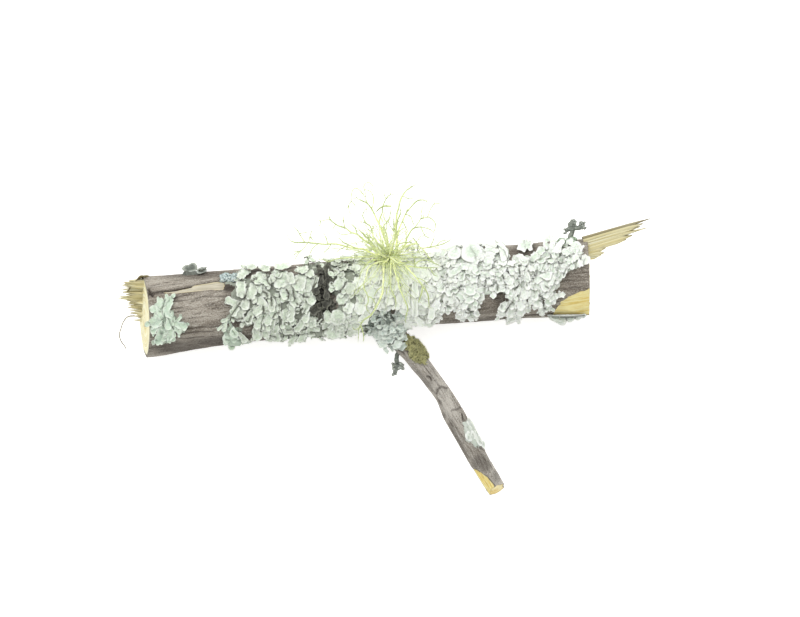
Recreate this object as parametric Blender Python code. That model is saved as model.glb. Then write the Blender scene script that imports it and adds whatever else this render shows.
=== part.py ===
"""A short length of fallen twig, 26 mm thick, that carries several lichens.

The twig lies on its side. X runs along it, Y across the table towards its upper
edge, and Z up. It has a sawn end at -X, a torn end with a long splinter at +X, and
a thinner side branch that comes out at -Y and rests its tip on the table. Shield
lichens cover the bark in lobed sheets, and a beard lichen stands on its upper edge.

Sizes in the tables are millimetres; every mesh is made in metres. A place on a
branch is written as (distance, angle): the angle goes round the branch from 0 at
its +Y side, over 90 at the top, to 180 at its -Y side.
"""

import math
import random

import bmesh
import bpy
import numpy as np
from mathutils import Matrix, Vector, noise
from mathutils.bvhtree import BVHTree

MM = 0.001

# ---------------------------------------------------------------- driving sizes
CLEARANCE = 0.3  # room left between the bark and what grows on it
LOBE_CLEARANCE = 0.7  # room left between two lichens
FLAT_DEPTH = 0.45  # how far the underside of the twig is worn flat
TWIG_LINE = (  # x, y, radius of the twig's centreline
    (-100.0, 6.2, 13.9),
    (-82.6, 7.8, 13.8),
    (-56.4, 10.9, 13.0),
    (-28.4, 13.8, 12.4),
    (5.8, 16.8, 12.3),
    (33.7, 19.1, 12.9),
    (50.1, 20.4, 12.5),
    (71.4, 21.6, 13.4),
    (86.0, 22.6, 13.5),
)
SIDE_LINE = (  # x, y, z, radius of the side branch's centreline
    (-1.8, 16.0, 15.0, 7.0),
    (1.6, 6.2, 13.4, 5.2),
    (5.1, 0.2, 11.9, 3.7),
    (9.8, -4.6, 10.5, 3.4),
    (13.4, -9.5, 9.3, 3.15),
    (17.2, -14.6, 8.2, 3.05),
    (21.2, -20.3, 7.1, 3.05),
    (24.4, -26.4, 6.2, 3.65),
    (29.3, -35.2, 5.0, 3.45),
    (33.7, -42.6, 4.1, 3.5),
    (38.9, -51.7, 3.0, 3.25),
    (42.5, -57.8, 2.7, 3.1),
)
SAWN_END_X = -83.4  # where the saw cut meets the centreline
SAWN_TILT = 9.0  # degrees that the sawn face leans up
TORN_END_X = 71.4
BARK_RIDGE = 0.22  # height of the ridges that run along the bark
TWIG_SIDES = 20
SIDE_SIDES = 10
VOXEL = 0.55 * MM  # grain at which lobes that overlap are fused
BRIDGE_REACH = 9.0  # clumps nearer than this are joined by a lobe
BEARD_HEART = (1.6, 28.6, 22.6)  # centre of the beard lichen's holdfast


# ---------------------------------------------------------------- scene helpers
def clear_scene():
    for obj in list(bpy.data.objects):
        bpy.data.objects.remove(obj, do_unlink=True)


def finish(name, colour, roughness):
    """A plain surface of one colour."""
    material = bpy.data.materials.new(name)
    material.use_nodes = True
    shader = material.node_tree.nodes["Principled BSDF"]
    shader.inputs["Base Color"].default_value = (*colour, 1.0)
    shader.inputs["Roughness"].default_value = roughness
    shader.inputs["Metallic"].default_value = 0.0
    return material


def add_object(name, mesh):
    obj = bpy.data.objects.new(name, mesh)
    bpy.context.scene.collection.objects.link(obj)
    return obj


def object_from_bmesh(name, bm):
    bmesh.ops.recalc_face_normals(bm, faces=bm.faces)
    mesh = bpy.data.meshes.new(name)
    bm.to_mesh(mesh)
    bm.free()
    return add_object(name, mesh)


def apply_modifiers(obj):
    bpy.context.view_layer.update()
    graph = bpy.context.evaluated_depsgraph_get()
    mesh = bpy.data.meshes.new_from_object(obj.evaluated_get(graph))
    obj.modifiers.clear()
    obj.data = mesh


def boolean(obj, tool, operation, keep_tool=False, solver="EXACT"):
    """Joins tool to obj, or cuts it from obj."""
    modifier = obj.modifiers.new(operation, "BOOLEAN")
    modifier.operation = operation
    modifier.solver = solver
    modifier.object = tool
    apply_modifiers(obj)
    if not keep_tool:
        bpy.data.objects.remove(tool, do_unlink=True)


def keep_largest_body(obj):
    """Drops the crumbs that a cut leaves beside the main body."""
    bm = bmesh.new()
    bm.from_mesh(obj.data)
    unseen = set(bm.verts)
    bodies = []
    while unseen:
        front = [unseen.pop()]
        body = set(front)
        while front:
            vertex = front.pop()
            for edge in vertex.link_edges:
                other = edge.other_vert(vertex)
                if other in unseen:
                    unseen.remove(other)
                    body.add(other)
                    front.append(other)
        bodies.append(body)
    bodies.sort(key=len)
    for body in bodies[:-1]:
        bmesh.ops.delete(bm, geom=list(body), context="VERTS")
    bm.to_mesh(obj.data)
    bm.free()


def shade_round(obj, angle=40.0):
    obj.data.shade_smooth()
    obj.data.set_sharp_from_angle(angle=math.radians(angle))


def dress(obj, material):
    obj.data.materials.clear()
    obj.data.materials.append(material)
    shade_round(obj)


# ---------------------------------------------------------------- branch shapes
def smooth_rows(rows, steps):
    """Rows of numbers read off a Catmull-Rom curve through the given rows."""
    points = np.array(rows, float)
    padded = np.vstack([2 * points[0] - points[1], points, 2 * points[-1] - points[-2]])
    out = []
    for i in range(1, len(padded) - 2):
        a, b, c, d = padded[i - 1 : i + 3]
        for k in range(steps):
            t = k / steps
            out.append(
                0.5
                * (2 * b + (c - a) * t + (2 * a - 5 * b + 4 * c - d) * t**2 + (3 * b - a - 3 * c + d) * t**3)
            )
    out.append(points[-1])
    return np.array(out)


class Limb:
    """A branch: its centreline, its radius, and the bark's broad relief."""

    def __init__(self, centres, radii, measure, seed):
        self.centres = np.array(centres)
        self.radii = np.array(radii)
        self.measure = np.array(measure)  # distance along the limb at each centre
        self.seed = seed

    def read(self, distance):
        """Centre, radius, across and upward directions at a distance along the limb."""
        centre = Vector([np.interp(distance, self.measure, self.centres[:, k]) for k in range(3)])
        step = 1.0
        ahead = [np.interp(distance + step, self.measure, self.centres[:, k]) for k in range(3)]
        behind = [np.interp(distance - step, self.measure, self.centres[:, k]) for k in range(3)]
        along = (Vector(ahead) - Vector(behind)).normalized()
        upward = (Vector((0, 0, 1)) - along * along.z).normalized()
        across = upward.cross(along)
        return centre, float(np.interp(distance, self.measure, self.radii)), across, upward

    def relief(self, distance, angle):
        """How far the bark stands out from a round section; none at the worn underside."""
        around = Vector((math.cos(angle), math.sin(angle), 0)) * 1.4
        place = around + Vector((self.seed, 0, distance * 0.045))
        ridges = math.sin(7 * angle + 2.2 * noise.noise(place * 0.7)) * BARK_RIDGE
        away_from_floor = min(max((math.sin(angle) + 0.97) / 0.35, 0.0), 1.0)
        return (ridges + 0.55 * noise.noise(place)) * away_from_floor

    def point(self, distance, angle_degrees, height=0.0):
        """A point that height mm above the bark, in millimetres."""
        angle = math.radians(angle_degrees)
        centre, radius, across, upward = self.read(distance)
        reach = radius + self.relief(distance, angle) + height
        return centre + (across * math.cos(angle) + upward * math.sin(angle)) * reach


def twig_limb():
    rows = smooth_rows(TWIG_LINE, 6)
    centres = [(x, y, r - FLAT_DEPTH) for x, y, r in rows]
    return Limb(centres, rows[:, 2], rows[:, 0], seed=0.0)


def side_limb():
    rows = smooth_rows(SIDE_LINE, 6)
    steps = np.linalg.norm(np.diff(rows[:, :3], axis=0), axis=1)
    return Limb(rows[:, :3], rows[:, 3], np.concatenate([[0], np.cumsum(steps)]), seed=9.0)


def loft(name, limb, start, end, stations, sides, grow=0.0):
    """A closed tube round the limb, grow mm larger than its bark."""
    bm = bmesh.new()
    rings = []
    for i in range(stations):
        distance = start + (end - start) * i / (stations - 1)
        ring = []
        for k in range(sides):
            place = limb.point(distance, 360.0 * k / sides + 180.0 / sides, grow)
            ring.append(bm.verts.new(place * MM))
        rings.append(ring)
    for low, high in zip(rings, rings[1:]):
        for k in range(sides):
            bm.faces.new((low[k], low[(k + 1) % sides], high[(k + 1) % sides], high[k]))
    bm.faces.new(rings[0])
    bm.faces.new(rings[-1])
    tube = object_from_bmesh(name, bm)
    slice_off(tube, (0, 0, -grow), (0, 0, -1))
    return tube


def slice_off(obj, point, outward):
    """Cuts the object flat at a plane and removes what lies beyond it."""
    bm = bmesh.new()
    bm.from_mesh(obj.data)
    bmesh.ops.bisect_plane(
        bm,
        geom=bm.verts[:] + bm.edges[:] + bm.faces[:],
        plane_co=Vector(point) * MM,
        plane_no=Vector(outward),
        clear_outer=True,
    )
    rim = [edge for edge in bm.edges if len(edge.link_faces) == 1]
    bmesh.ops.edgeloop_fill(bm, edges=rim)
    bmesh.ops.recalc_face_normals(bm, faces=bm.faces)
    bm.to_mesh(obj.data)
    bm.free()


def spike(name, root, tip, root_size, tip_size):
    """A four-sided sliver of wood from root to tip; sizes are (across Y, across Z)."""
    bm = bmesh.new()
    rings = []
    for place, (wide, high) in ((root, root_size), (tip, tip_size)):
        corners = ((-1, -1), (1, -1), (1, 1), (-1, 1))
        ring = [
            bm.verts.new((Vector(place) + Vector((0, cy * wide / 2, cz * high / 2))) * MM)
            for cy, cz in corners
        ]
        rings.append(ring)
    for k in range(4):
        bm.faces.new((rings[0][k], rings[0][(k + 1) % 4], rings[1][(k + 1) % 4], rings[1][k]))
    bm.faces.new(rings[0])
    bm.faces.new(rings[1])
    return object_from_bmesh(name, bm)


def torn_splinter():
    """The long sliver that stands out of the torn end, its edge stepped where it split."""
    outline = (
        (58.0, 33.4),
        (71.6, 35.3),
        (93.0, 41.9),
        (91.8, 38.9),
        (87.2, 36.4),
        (86.4, 34.9),
        (77.6, 32.2),
        (76.2, 30.0),
        (71.6, 27.6),
        (58.0, 26.6),
    )
    middle_z, half_root, half_tip = 13.6, 4.4, 0.7
    root_x, tip_x = 71.6, 93.0
    bm = bmesh.new()
    rims = []
    for side in (-1, 1):
        rim = []
        for x, y in outline:
            share = min(max((x - root_x) / (tip_x - root_x), 0.0), 1.0)
            half = half_root + (half_tip - half_root) * share**0.8
            rim.append(bm.verts.new(Vector((x, y, middle_z + side * half)) * MM))
        rims.append(rim)
    count = len(outline)
    for k in range(count):
        bm.faces.new((rims[0][k], rims[0][(k + 1) % count], rims[1][(k + 1) % count], rims[1][k]))
    bm.faces.new(rims[0])
    bm.faces.new(rims[1])
    return object_from_bmesh("torn_splinter", bm)


def plane_cutter(corner, inward, size):
    """A block with one face centred on corner, whose body lies away from inward."""
    bm = bmesh.new()
    bmesh.ops.create_cube(bm, size=size * MM)
    turn = Vector(inward).to_track_quat("Z", "Y").to_matrix().to_4x4()
    place = Vector(corner) - Vector(inward).normalized() * size / 2
    bmesh.ops.transform(bm, matrix=Matrix.Translation(place * MM) @ turn, verts=bm.verts)
    return object_from_bmesh("plane_cutter", bm)


def main_branch(twig, span):
    """The twig itself: bark and wood in one, sawn at one end and torn at the other."""
    body = loft("main_branch", twig, *span)
    lean = math.radians(SAWN_TILT)
    centre = twig.read(SAWN_END_X)[0]
    slice_off(body, centre, (-math.cos(lean), -0.05, math.sin(lean)))
    slice_off(body, twig.read(TORN_END_X)[0], (1.0, 0.03, -0.01))
    boolean(body, torn_splinter(), "UNION")
    boolean(body, plane_cutter((71.4, 13.2, 20.9), (-0.14, 0.72, -0.68), 40.0), "DIFFERENCE")
    torn_fibres = (  # root y and z, tip x, y and z, root width and height
        (18.0, 11.6, -90.8, 20.2, 11.0, 4.8, 8.4),
        (15.0, 8.8, -91.6, 17.4, 8.6, 4.6, 8.2),
        (12.2, 6.8, -93.0, 14.6, 7.0, 4.4, 7.0),
        (9.2, 5.4, -90.6, 12.0, 5.8, 4.4, 6.0),
        (6.2, 4.6, -88.6, 9.4, 4.8, 4.2, 5.0),
    )
    for y, z, tip_x, tip_y, tip_z, wide, high in torn_fibres:
        fibre = spike("fibre", (-76.0, y, z), (tip_x, tip_y, tip_z), (wide, high), (2.7, 3.4))
        boolean(body, fibre, "UNION")
    keep_largest_body(body)
    dress(body, finish("bark", (0.20, 0.165, 0.15), 0.85))
    return body


def side_branch(side, span, twig_room):
    """The thinner branch, torn at its tip so that yellow wood shows."""
    body = loft("side_branch", side, *span)
    slice_off(body, (39.5, -52.8, 3.0), (0.45, -0.78, 0.34))
    boolean(body, plane_cutter((37.8, -53.7, 4.2), (0.675, 0.629, -0.423), 20.0), "DIFFERENCE")
    boolean(body, twig_room, "DIFFERENCE", keep_tool=True)
    keep_largest_body(body)
    dress(body, finish("side_bark", (0.26, 0.235, 0.21), 0.85))
    return body


# ---------------------------------------------------------------- lichen sheets
def add_lobe(bm, limb, start, heading, length, width, thick, lift, base=0.2):
    """A flattened tongue that lies on the bark from start and lifts towards its tip.

    heading is in degrees: 0 points along the limb and 90 round it to larger angles.
    """
    distance, angle = start
    radius = limb.read(distance)[1]
    turn = math.radians(heading)
    stations, sides = 7, 8
    rings = []
    for i in range(stations):
        share = (i + 0.5) / stations
        swell = math.sqrt(max(1 - (2 * share - 1) ** 2, 0.0)) ** 0.7
        ring = []
        for k in range(sides):
            round_angle = 2 * math.pi * k / sides
            forth = (share - 0.1) * length
            beside = math.cos(round_angle) * width / 2 * swell
            above = base + thick / 2 + math.sin(round_angle) * thick / 2 * swell + lift * share**2
            on = forth * math.cos(turn) - beside * math.sin(turn)
            about = forth * math.sin(turn) + beside * math.cos(turn)
            place = limb.point(distance + on, angle + math.degrees(about / radius), above)
            ring.append(bm.verts.new(place * MM))
        rings.append(ring)
    for low, high in zip(rings, rings[1:]):
        for k in range(sides):
            bm.faces.new((low[k], low[(k + 1) % sides], high[(k + 1) % sides], high[k]))
    bm.faces.new(rings[0])
    bm.faces.new(rings[-1])


def add_bead(bm, centre, radius, stretch=(1, 1, 1)):
    """A small rounded lump at a point given in millimetres."""
    scale = Matrix.Diagonal((*stretch, 1.0))
    matrix = Matrix.Translation(Vector(centre) * MM) @ scale
    bmesh.ops.create_icosphere(bm, subdivisions=2, radius=radius * MM, matrix=matrix)


def add_rod(bm, line, radii):
    """Beads strung closely along a line of points."""
    for (a, b), (ra, rb) in zip(zip(line, line[1:]), zip(radii, radii[1:])):
        a, b = Vector(a), Vector(b)
        count = max(2, int((b - a).length / (0.5 * min(ra, rb))))
        for k in range(count + 1):
            t = k / count
            add_bead(bm, a.lerp(b, t), ra + (rb - ra) * t)


def fuse_skin(obj):
    """Wraps the object's shapes, which may run into each other, in one closed skin."""
    remesh = obj.modifiers.new("Fuse", "REMESH")
    remesh.mode = "VOXEL"
    remesh.voxel_size = VOXEL
    apply_modifiers(obj)
    keep_largest_body(obj)


def fuse(name, bm):
    """One closed skin round everything in bm."""
    obj = object_from_bmesh(name, bm)
    fuse_skin(obj)
    return obj


def facet(obj, triangles):
    """Brings the object down to about that many flat triangles."""
    bm = bmesh.new()
    bm.from_mesh(obj.data)
    bmesh.ops.triangulate(bm, faces=bm.faces)
    bm.to_mesh(obj.data)
    bm.free()
    decimate = obj.modifiers.new("Facet", "DECIMATE")
    decimate.ratio = triangles / len(obj.data.polygons)
    apply_modifiers(obj)


def room_for(obj):
    """A copy of the object, swollen by the clearance, that cuts its neighbours."""
    room = add_object(obj.name + "_room", obj.data.copy())
    swell = room.modifiers.new("Swell", "DISPLACE")
    swell.strength = LOBE_CLEARANCE * MM
    swell.mid_level = 0.0
    fuse_skin(room)
    return room


def settle(obj, rooms):
    """Cuts away what would lie inside the neighbours, and leaves one body.

    The exact solver loses most of a finely meshed sheet here, so the manifold one cuts it.
    """
    for room in rooms:
        boolean(obj, room, "DIFFERENCE", keep_tool=True, solver="MANIFOLD")
    keep_largest_body(obj)


def rosette(bm, limb, clumps, lobes, seed, thick, lift):
    """Lobes that spread from each clump's middle, with a bridge to the next clump.

    A clump is (distance along the limb, angle round it, reach).
    """
    chance = random.Random(seed)
    for distance, angle, reach in clumps:
        turn = chance.uniform(0, 360)
        for k in range(lobes):
            heading = turn + 360.0 * k / lobes + chance.uniform(-14, 14)
            length = reach * chance.uniform(0.85, 1.15)
            width = reach * chance.uniform(0.62, 0.8)
            raised = lift * chance.uniform(0.4, 1.3)
            add_lobe(bm, limb, (distance, angle), heading, length, width, thick, raised)
    for first, second in zip(clumps, clumps[1:]):
        radius = limb.read(first[0])[1]
        on = second[0] - first[0]
        about = math.radians(second[1] - first[1]) * radius
        reach = math.hypot(on, about) * 1.15
        if reach < BRIDGE_REACH:
            heading = math.degrees(math.atan2(about, on))
            add_lobe(bm, limb, first[:2], heading, reach, 4.0, thick, 0.0)


def shield_lichen(name, limb, clumps, seed, triangles, colour, rooms):
    """A leafy lichen pressed to the bark; its lobes stop short of its neighbours."""
    bm = bmesh.new()
    chance = random.Random(seed)
    spread = []
    for distance, angles in clumps:
        for angle in angles:
            spread.append((distance + chance.uniform(-1.4, 1.4), angle, chance.uniform(4.8, 6.2)))
    rosette(bm, limb, spread, 5, seed, 1.3, 1.9)
    obj = fuse(name, bm)
    slice_off(obj, (TORN_END_X - 0.5, 0, 0), (1.0, 0.03, 0.05))
    settle(obj, rooms)
    facet(obj, triangles)
    dress(obj, finish(name, colour, 0.9))
    return obj


def moulded(name, build, triangles, colour, rooms):
    """A small growth whose lumps build(bm) lays down."""
    bm = bmesh.new()
    build(bm)
    obj = fuse(name, bm)
    settle(obj, rooms)
    facet(obj, triangles)
    dress(obj, finish(name, colour, 0.9))
    return obj


# ---------------------------------------------------------------- the lichens
PALE_GREEN = (0.56, 0.63, 0.52)
GREY_GREEN = (0.50, 0.55, 0.49)
WHITE_GREEN = (0.66, 0.70, 0.65)
BLUE_GREY = (0.36, 0.41, 0.40)
GREEN_GREY = (0.33, 0.40, 0.33)
BEARD_GREEN = (0.52, 0.62, 0.22)

# Where each sheet's clumps of lobes sit: (distance along the twig, angles round it).
LEFT_CLUMPS = (
    (-50.0, (46, 70, 96, 114)),
    (-43.6, (62, 84, 108, 134)),
    (-37.0, (54, 76, 100, 124, 152)),
    (-29.8, (66, 90, 114, 138, 160)),
    (-23.6, (34, 136, 158)),
    (-17.4, (36, 128, 150, 172)),
    (-12.8, (50, 74, 98, 122, 146)),
    (-9.0, (62, 86, 110, 134, 158)),
)
MIDDLE_CLUMPS = (
    (-4.0, (58, 82, 106, 160)),
    (2.0, (70, 94, 160)),
    (7.6, (46, 62, 86, 110, 134, 156)),
    (13.4, (44, 66, 90, 114, 138)),
    (17.6, (56, 80, 104, 128, 148)),
)
RIGHT_CLUMPS = (
    (22.4, (36, 60, 88, 114, 138)),
    (27.6, (32, 60, 92, 122)),
    (33.4, (14, 44, 76, 106, 134)),
    (39.4, (30, 62, 94, 122)),
    (45.4, (76, 106, 134)),
    (51.0, (60, 90, 120, 140)),
    (56.4, (42, 72, 102, 126)),
    (61.8, (46, 66, 88)),
    (66.6, (42, 58)),
)


def cut_end_rosette(twig, rooms):
    """The mint-green rosette that faces up beside the sawn end."""

    def build(bm):
        clumps = ((-76.2, 84, 3.6), (-75.4, 103, 4.4), (-76.8, 124, 3.6), (-72.6, 108, 3.4))
        rosette(bm, twig, clumps, 5, 11, 1.2, 0.8)

    return moulded("cut_end_rosette", build, 170, PALE_GREEN, rooms)


def lower_edge_rosette(twig, rooms):
    """A small rosette that hangs over the lower edge of the twig."""

    def build(bm):
        rosette(bm, twig, ((-54.6, 134, 3.4), (-52.8, 160, 4.2), (-51.4, 182, 4.6)), 5, 21, 1.3, 2.6)
        add_rod(bm, (twig.point(-51.6, 182, 0.8), twig.point(-52.4, 181, 3.6)), (1.3, 1.5))

    return moulded("lower_edge_rosette", build, 190, PALE_GREEN, rooms)


def fork_lichen(twig, side, rooms):
    """Blue-grey lobes that fill the corner where the side branch leaves the twig."""

    def build(bm):
        on_twig = ((-5.0, 172, 3.6), (-4.4, 150, 3.8), (-0.6, 130, 4.0), (1.2, 150, 4.0), (0.6, 172, 3.8))
        rosette(bm, twig, on_twig, 5, 31, 1.2, 1.2)
        rosette(bm, side, ((12.6, 128, 3.6), (16.4, 146, 3.4), (18.2, 116, 3.2)), 4, 32, 1.2, 0.6)

    return moulded("fork_lichen", build, 240, BLUE_GREY, rooms)


def black_lichen(twig, rooms):
    """The black upright lobes that show between the grey ones."""

    def build(bm):
        line = ((-20.4, 54), (-22.6, 62), (-22.0, 76), (-22.6, 90), (-21.0, 102), (-23.4, 116))
        widths = (3.6, 4.6, 3.4, 4.8, 5.0, 3.4)
        for (distance, angle), width in zip(line, widths):
            add_lobe(bm, twig, (distance, angle - 6), 90, 5.6, width, 1.5, 0.4)
        add_lobe(bm, twig, (-19.4, 50), 80, 5.0, 2.6, 1.6, 0.6)
        add_lobe(bm, twig, (-20.4, 92), 50, 4.2, 2.4, 1.6, 0.6)

    return moulded("black_lichen", build, 170, (0.03, 0.03, 0.028), rooms)


def moss_cushion(side, rooms):
    """A velvety cushion of moss on the upper side of the side branch."""

    def build(bm):
        chance = random.Random(41)
        for step in range(10):
            taper = 1.0 - abs(step - 4.5) / 7.0
            for turn in range(5):
                distance = 19.2 + step * 1.25 + chance.uniform(-0.5, 0.5)
                angle = 46 + (turn - 2) * 26 * taper + chance.uniform(-5, 5)
                add_bead(bm, side.point(distance, angle, 0.6), chance.uniform(1.0, 1.6) * (0.6 + 0.4 * taper))

    return moulded("moss_cushion", build, 170, (0.16, 0.15, 0.055), rooms)


def side_branch_lichen(side, rooms):
    def build(bm):
        rosette(bm, side, ((57.6, 48, 3.0), (60.6, 62, 3.0), (63.6, 40, 2.8)), 5, 51, 1.0, 0.4)

    return moulded("side_branch_lichen", build, 140, BLUE_GREY, rooms)


def dangling_lobes(rooms):
    """A stalk with three dark lobes that hangs free beside the side branch."""

    def build(bm):
        stalk = ((5.6, -3.6, 10.4), (4.7, -6.2, 10.0), (4.7, -8.9, 9.6))
        add_rod(bm, stalk, (0.85, 0.75, 0.8))
        add_bead(bm, (5.9, -9.4, 9.8), 1.15, (1.2, 0.9, 0.9))
        add_bead(bm, (4.0, -9.6, 9.5), 1.2, (1.0, 1.1, 0.9))
        add_rod(bm, ((4.4, -9.4, 9.5), (4.5, -12.0, 9.2)), (0.95, 0.95))
        add_bead(bm, (3.6, -12.1, 9.2), 1.0, (1.1, 0.8, 0.8))

    return moulded("dangling_lobes", build, 170, (0.20, 0.23, 0.20), rooms)


def upper_edge_flake(twig, rooms):
    """A dark lifted flake on the upper edge near the sawn end."""

    def build(bm):
        add_lobe(bm, twig, (-62.2, 14), 182, 7.6, 3.6, 1.3, 1.9)
        add_lobe(bm, twig, (-67.4, 10), 20, 7.0, 3.0, 1.2, 0.3)
        add_lobe(bm, twig, (-65.2, 16), 250, 4.0, 3.0, 1.3, 2.2)

    return moulded("upper_edge_flake", build, 150, (0.17, 0.17, 0.16), rooms)


def warty_crust(name, twig, place, spread, seed, colour, rooms):
    """A small crust of round warts."""

    def build(bm):
        distance, angle = place
        chance = random.Random(seed)
        for k in range(14):
            on = distance + chance.uniform(-1, 1) * spread
            about = angle + math.degrees(chance.uniform(-0.5, 0.5) * spread / 13.0)
            add_bead(bm, twig.point(on, about, 0.8), chance.uniform(1.0, 1.35))
        add_lobe(bm, twig, (distance - spread, angle), 0, 2 * spread, spread, 1.3, 0.0)

    return moulded(name, build, 180, colour, rooms)


def stalked_lobes(rooms):
    """Two dark stalked lobes that stand up from the upper edge near the torn end."""

    def build(bm):
        add_rod(bm, ((65.4, 35.8, 15.2), (65.9, 37.8, 15.8), (66.6, 39.0, 16.4)), (0.95, 0.8, 0.9))
        add_rod(bm, ((66.0, 38.4, 16.0), (65.2, 39.8, 16.6), (66.5, 41.3, 17.2)), (1.1, 1.0, 0.95))
        add_rod(bm, ((66.6, 38.6, 16.4), (68.4, 38.9, 16.4), (69.4, 40.2, 16.6)), (0.8, 0.7, 0.9))
        add_bead(bm, (69.9, 39.7, 16.6), 1.35, (0.9, 1.1, 0.9))

    return moulded("stalked_lobes", build, 200, (0.20, 0.22, 0.19), rooms)


def torn_end_fringe(twig, rooms):
    """Small lobes along the lower edge, under the patch of bare wood."""

    def build(bm):
        clumps = ((57.4, 174, 3.0), (60.8, 176, 3.4), (64.4, 175, 3.2), (68.0, 175, 2.6))
        rosette(bm, twig, clumps, 5, 71, 1.1, 2.2)

    return moulded("torn_end_fringe", build, 170, PALE_GREEN, rooms)


# ---------------------------------------------------------------- beard lichen
# Each stem: points from its root to its tip, then offshoots as (share of the way
# along, end point relative to where it leaves the stem).
BEARD_STEMS = (
    (((-1.9, 30.1, 23.6), (-10.0, 32.6, 25.0), (-21.0, 33.4, 24.4), (-32.6, 34.4, 22.0)),
     ((0.45, (-4.4, 4.4, 0.8)), (0.75, (-5.2, -3.8, -0.8)))),
    (((-2.0, 28.2, 24.6), (-8.4, 29.6, 29.0), (-18.0, 28.4, 30.8), (-29.4, 27.4, 27.0)),
     ((0.50, (-5.0, -2.6, 1.6)), (0.70, (-2.8, 3.6, 1.4)))),
    (((-0.9, 31.8, 24.6), (-6.4, 37.0, 28.4), (-13.6, 40.6, 29.4), (-18.8, 44.8, 27.8)),
     ((0.45, (-6.2, -0.6, 1.0)), (0.75, (-4.8, 1.2, -1.6)))),
    (((0.2, 32.2, 23.2), (-3.4, 39.8, 24.2), (-7.0, 47.0, 23.6), (-12.2, 51.4, 21.4)),
     ((0.50, (-5.6, 1.8, 1.8)), (0.70, (2.4, 5.4, -0.6)))),
    (((1.4, 32.0, 25.0), (1.8, 38.8, 29.8), (4.4, 46.0, 31.6), (8.6, 51.6, 30.0)),
     ((0.45, (-3.6, 4.2, 1.0)), (0.70, (-1.2, 5.6, 1.2)))),
    (((2.8, 32.4, 23.4), (5.4, 41.0, 23.0), (9.2, 48.6, 21.4), (13.4, 54.4, 18.4)),
     ((0.45, (4.0, 2.4, -2.0)), (0.75, (4.6, -0.6, 1.0)))),
    (((4.4, 31.0, 24.0), (9.8, 36.8, 26.8), (14.8, 41.8, 27.0), (20.0, 47.6, 24.2)),
     ((0.45, (-0.6, 5.6, 1.2)), (0.70, (5.4, -0.8, -1.6)))),
    (((5.2, 29.0, 24.4), (11.2, 32.2, 28.6), (18.0, 34.4, 29.8), (25.6, 36.6, 27.8)),
     ((0.50, (3.4, 4.6, 1.2)), (0.75, (3.0, -3.4, -0.4)))),
    (((5.2, 27.2, 24.0), (12.2, 27.4, 29.2), (19.0, 27.6, 31.0), (26.4, 26.6, 28.8)),
     ((0.45, (4.0, -3.0, 1.4)), (0.75, (2.6, 3.2, 0.6)))),
    (((3.6, 25.4, 25.6), (8.8, 20.8, 31.6), (13.4, 14.4, 31.8), (15.6, 9.6, 27.6)),
     ((0.50, (-3.0, -3.6, 1.4)), (0.45, (4.6, -1.2, 0.2)))),
    (((2.0, 25.0, 26.2), (3.4, 17.0, 32.8), (6.6, 10.4, 31.2), (8.4, 5.4, 25.2)),
     ((0.50, (-3.6, -3.8, 0.4)),)),
    (((0.0, 25.4, 25.4), (-1.8, 18.2, 31.4), (-3.2, 11.2, 31.4), (-6.0, 6.4, 26.4)),
     ((0.45, (3.4, -4.0, 1.6)),)),
    (((-1.4, 26.6, 25.0), (-6.0, 20.6, 30.6), (-8.2, 10.2, 29.6), (-8.8, -0.8, 21.6)),
     ((0.45, (-5.2, -3.0, 0.6)), (0.85, (2.4, -3.0, -2.4)))),
    (((0.4, 28.4, 26.9), (-1.8, 30.6, 34.0), (-4.0, 33.4, 40.0), (-7.6, 37.0, 44.4)),
     ((0.50, (-4.8, -2.4, 3.0)),)),
    (((2.6, 28.2, 27.0), (4.0, 27.2, 34.2), (6.6, 26.0, 41.0), (10.0, 27.0, 46.6)),
     ((0.50, (4.8, 2.6, 3.0)),)),
    (((2.4, 30.2, 26.8), (3.6, 34.0, 33.4), (4.6, 38.8, 38.4), (6.0, 44.4, 40.8)),
     ((0.50, (4.4, 1.4, 2.2)),)),
)
STEM_ROOT, STEM_TIP = 0.62, 0.34  # radii in mm


def clear_of(points, holdfast_room):
    """The points of a stem from where it has left the holdfast."""
    tree = BVHTree.FromPolygons(
        [v.co for v in holdfast_room.data.vertices],
        [p.vertices for p in holdfast_room.data.polygons],
    )
    for i, point in enumerate(points):
        near, normal, _, distance = tree.find_nearest(Vector(point) * MM)
        outside = (Vector(point) * MM - near).dot(normal) > 0
        if outside and distance > STEM_ROOT * MM:
            return points[i:]
    return points


def beard_tube(name, points, start_radius, end_radius):
    """A closed tapering tube with four sides through the points."""
    sides = 4
    points = [Vector(p) for p in points]
    bm = bmesh.new()
    rings = []
    for i, point in enumerate(points):
        along = (points[min(i + 1, len(points) - 1)] - points[max(i - 1, 0)]).normalized()
        across = along.cross(Vector((0.13, 0.21, 1.0))).normalized()
        other = across.cross(along)
        radius = start_radius + (end_radius - start_radius) * i / (len(points) - 1)
        ring = []
        for k in range(sides):
            turn = 2 * math.pi * k / sides
            place = point + (across * math.cos(turn) + other * math.sin(turn)) * radius
            ring.append(bm.verts.new(place * MM))
        rings.append(ring)
    for low, high in zip(rings, rings[1:]):
        for k in range(sides):
            bm.faces.new((low[k], low[(k + 1) % sides], high[(k + 1) % sides], high[k]))
    bm.faces.new(rings[0])
    bm.faces.new(rings[-1])
    return object_from_bmesh(name, bm)


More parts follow.
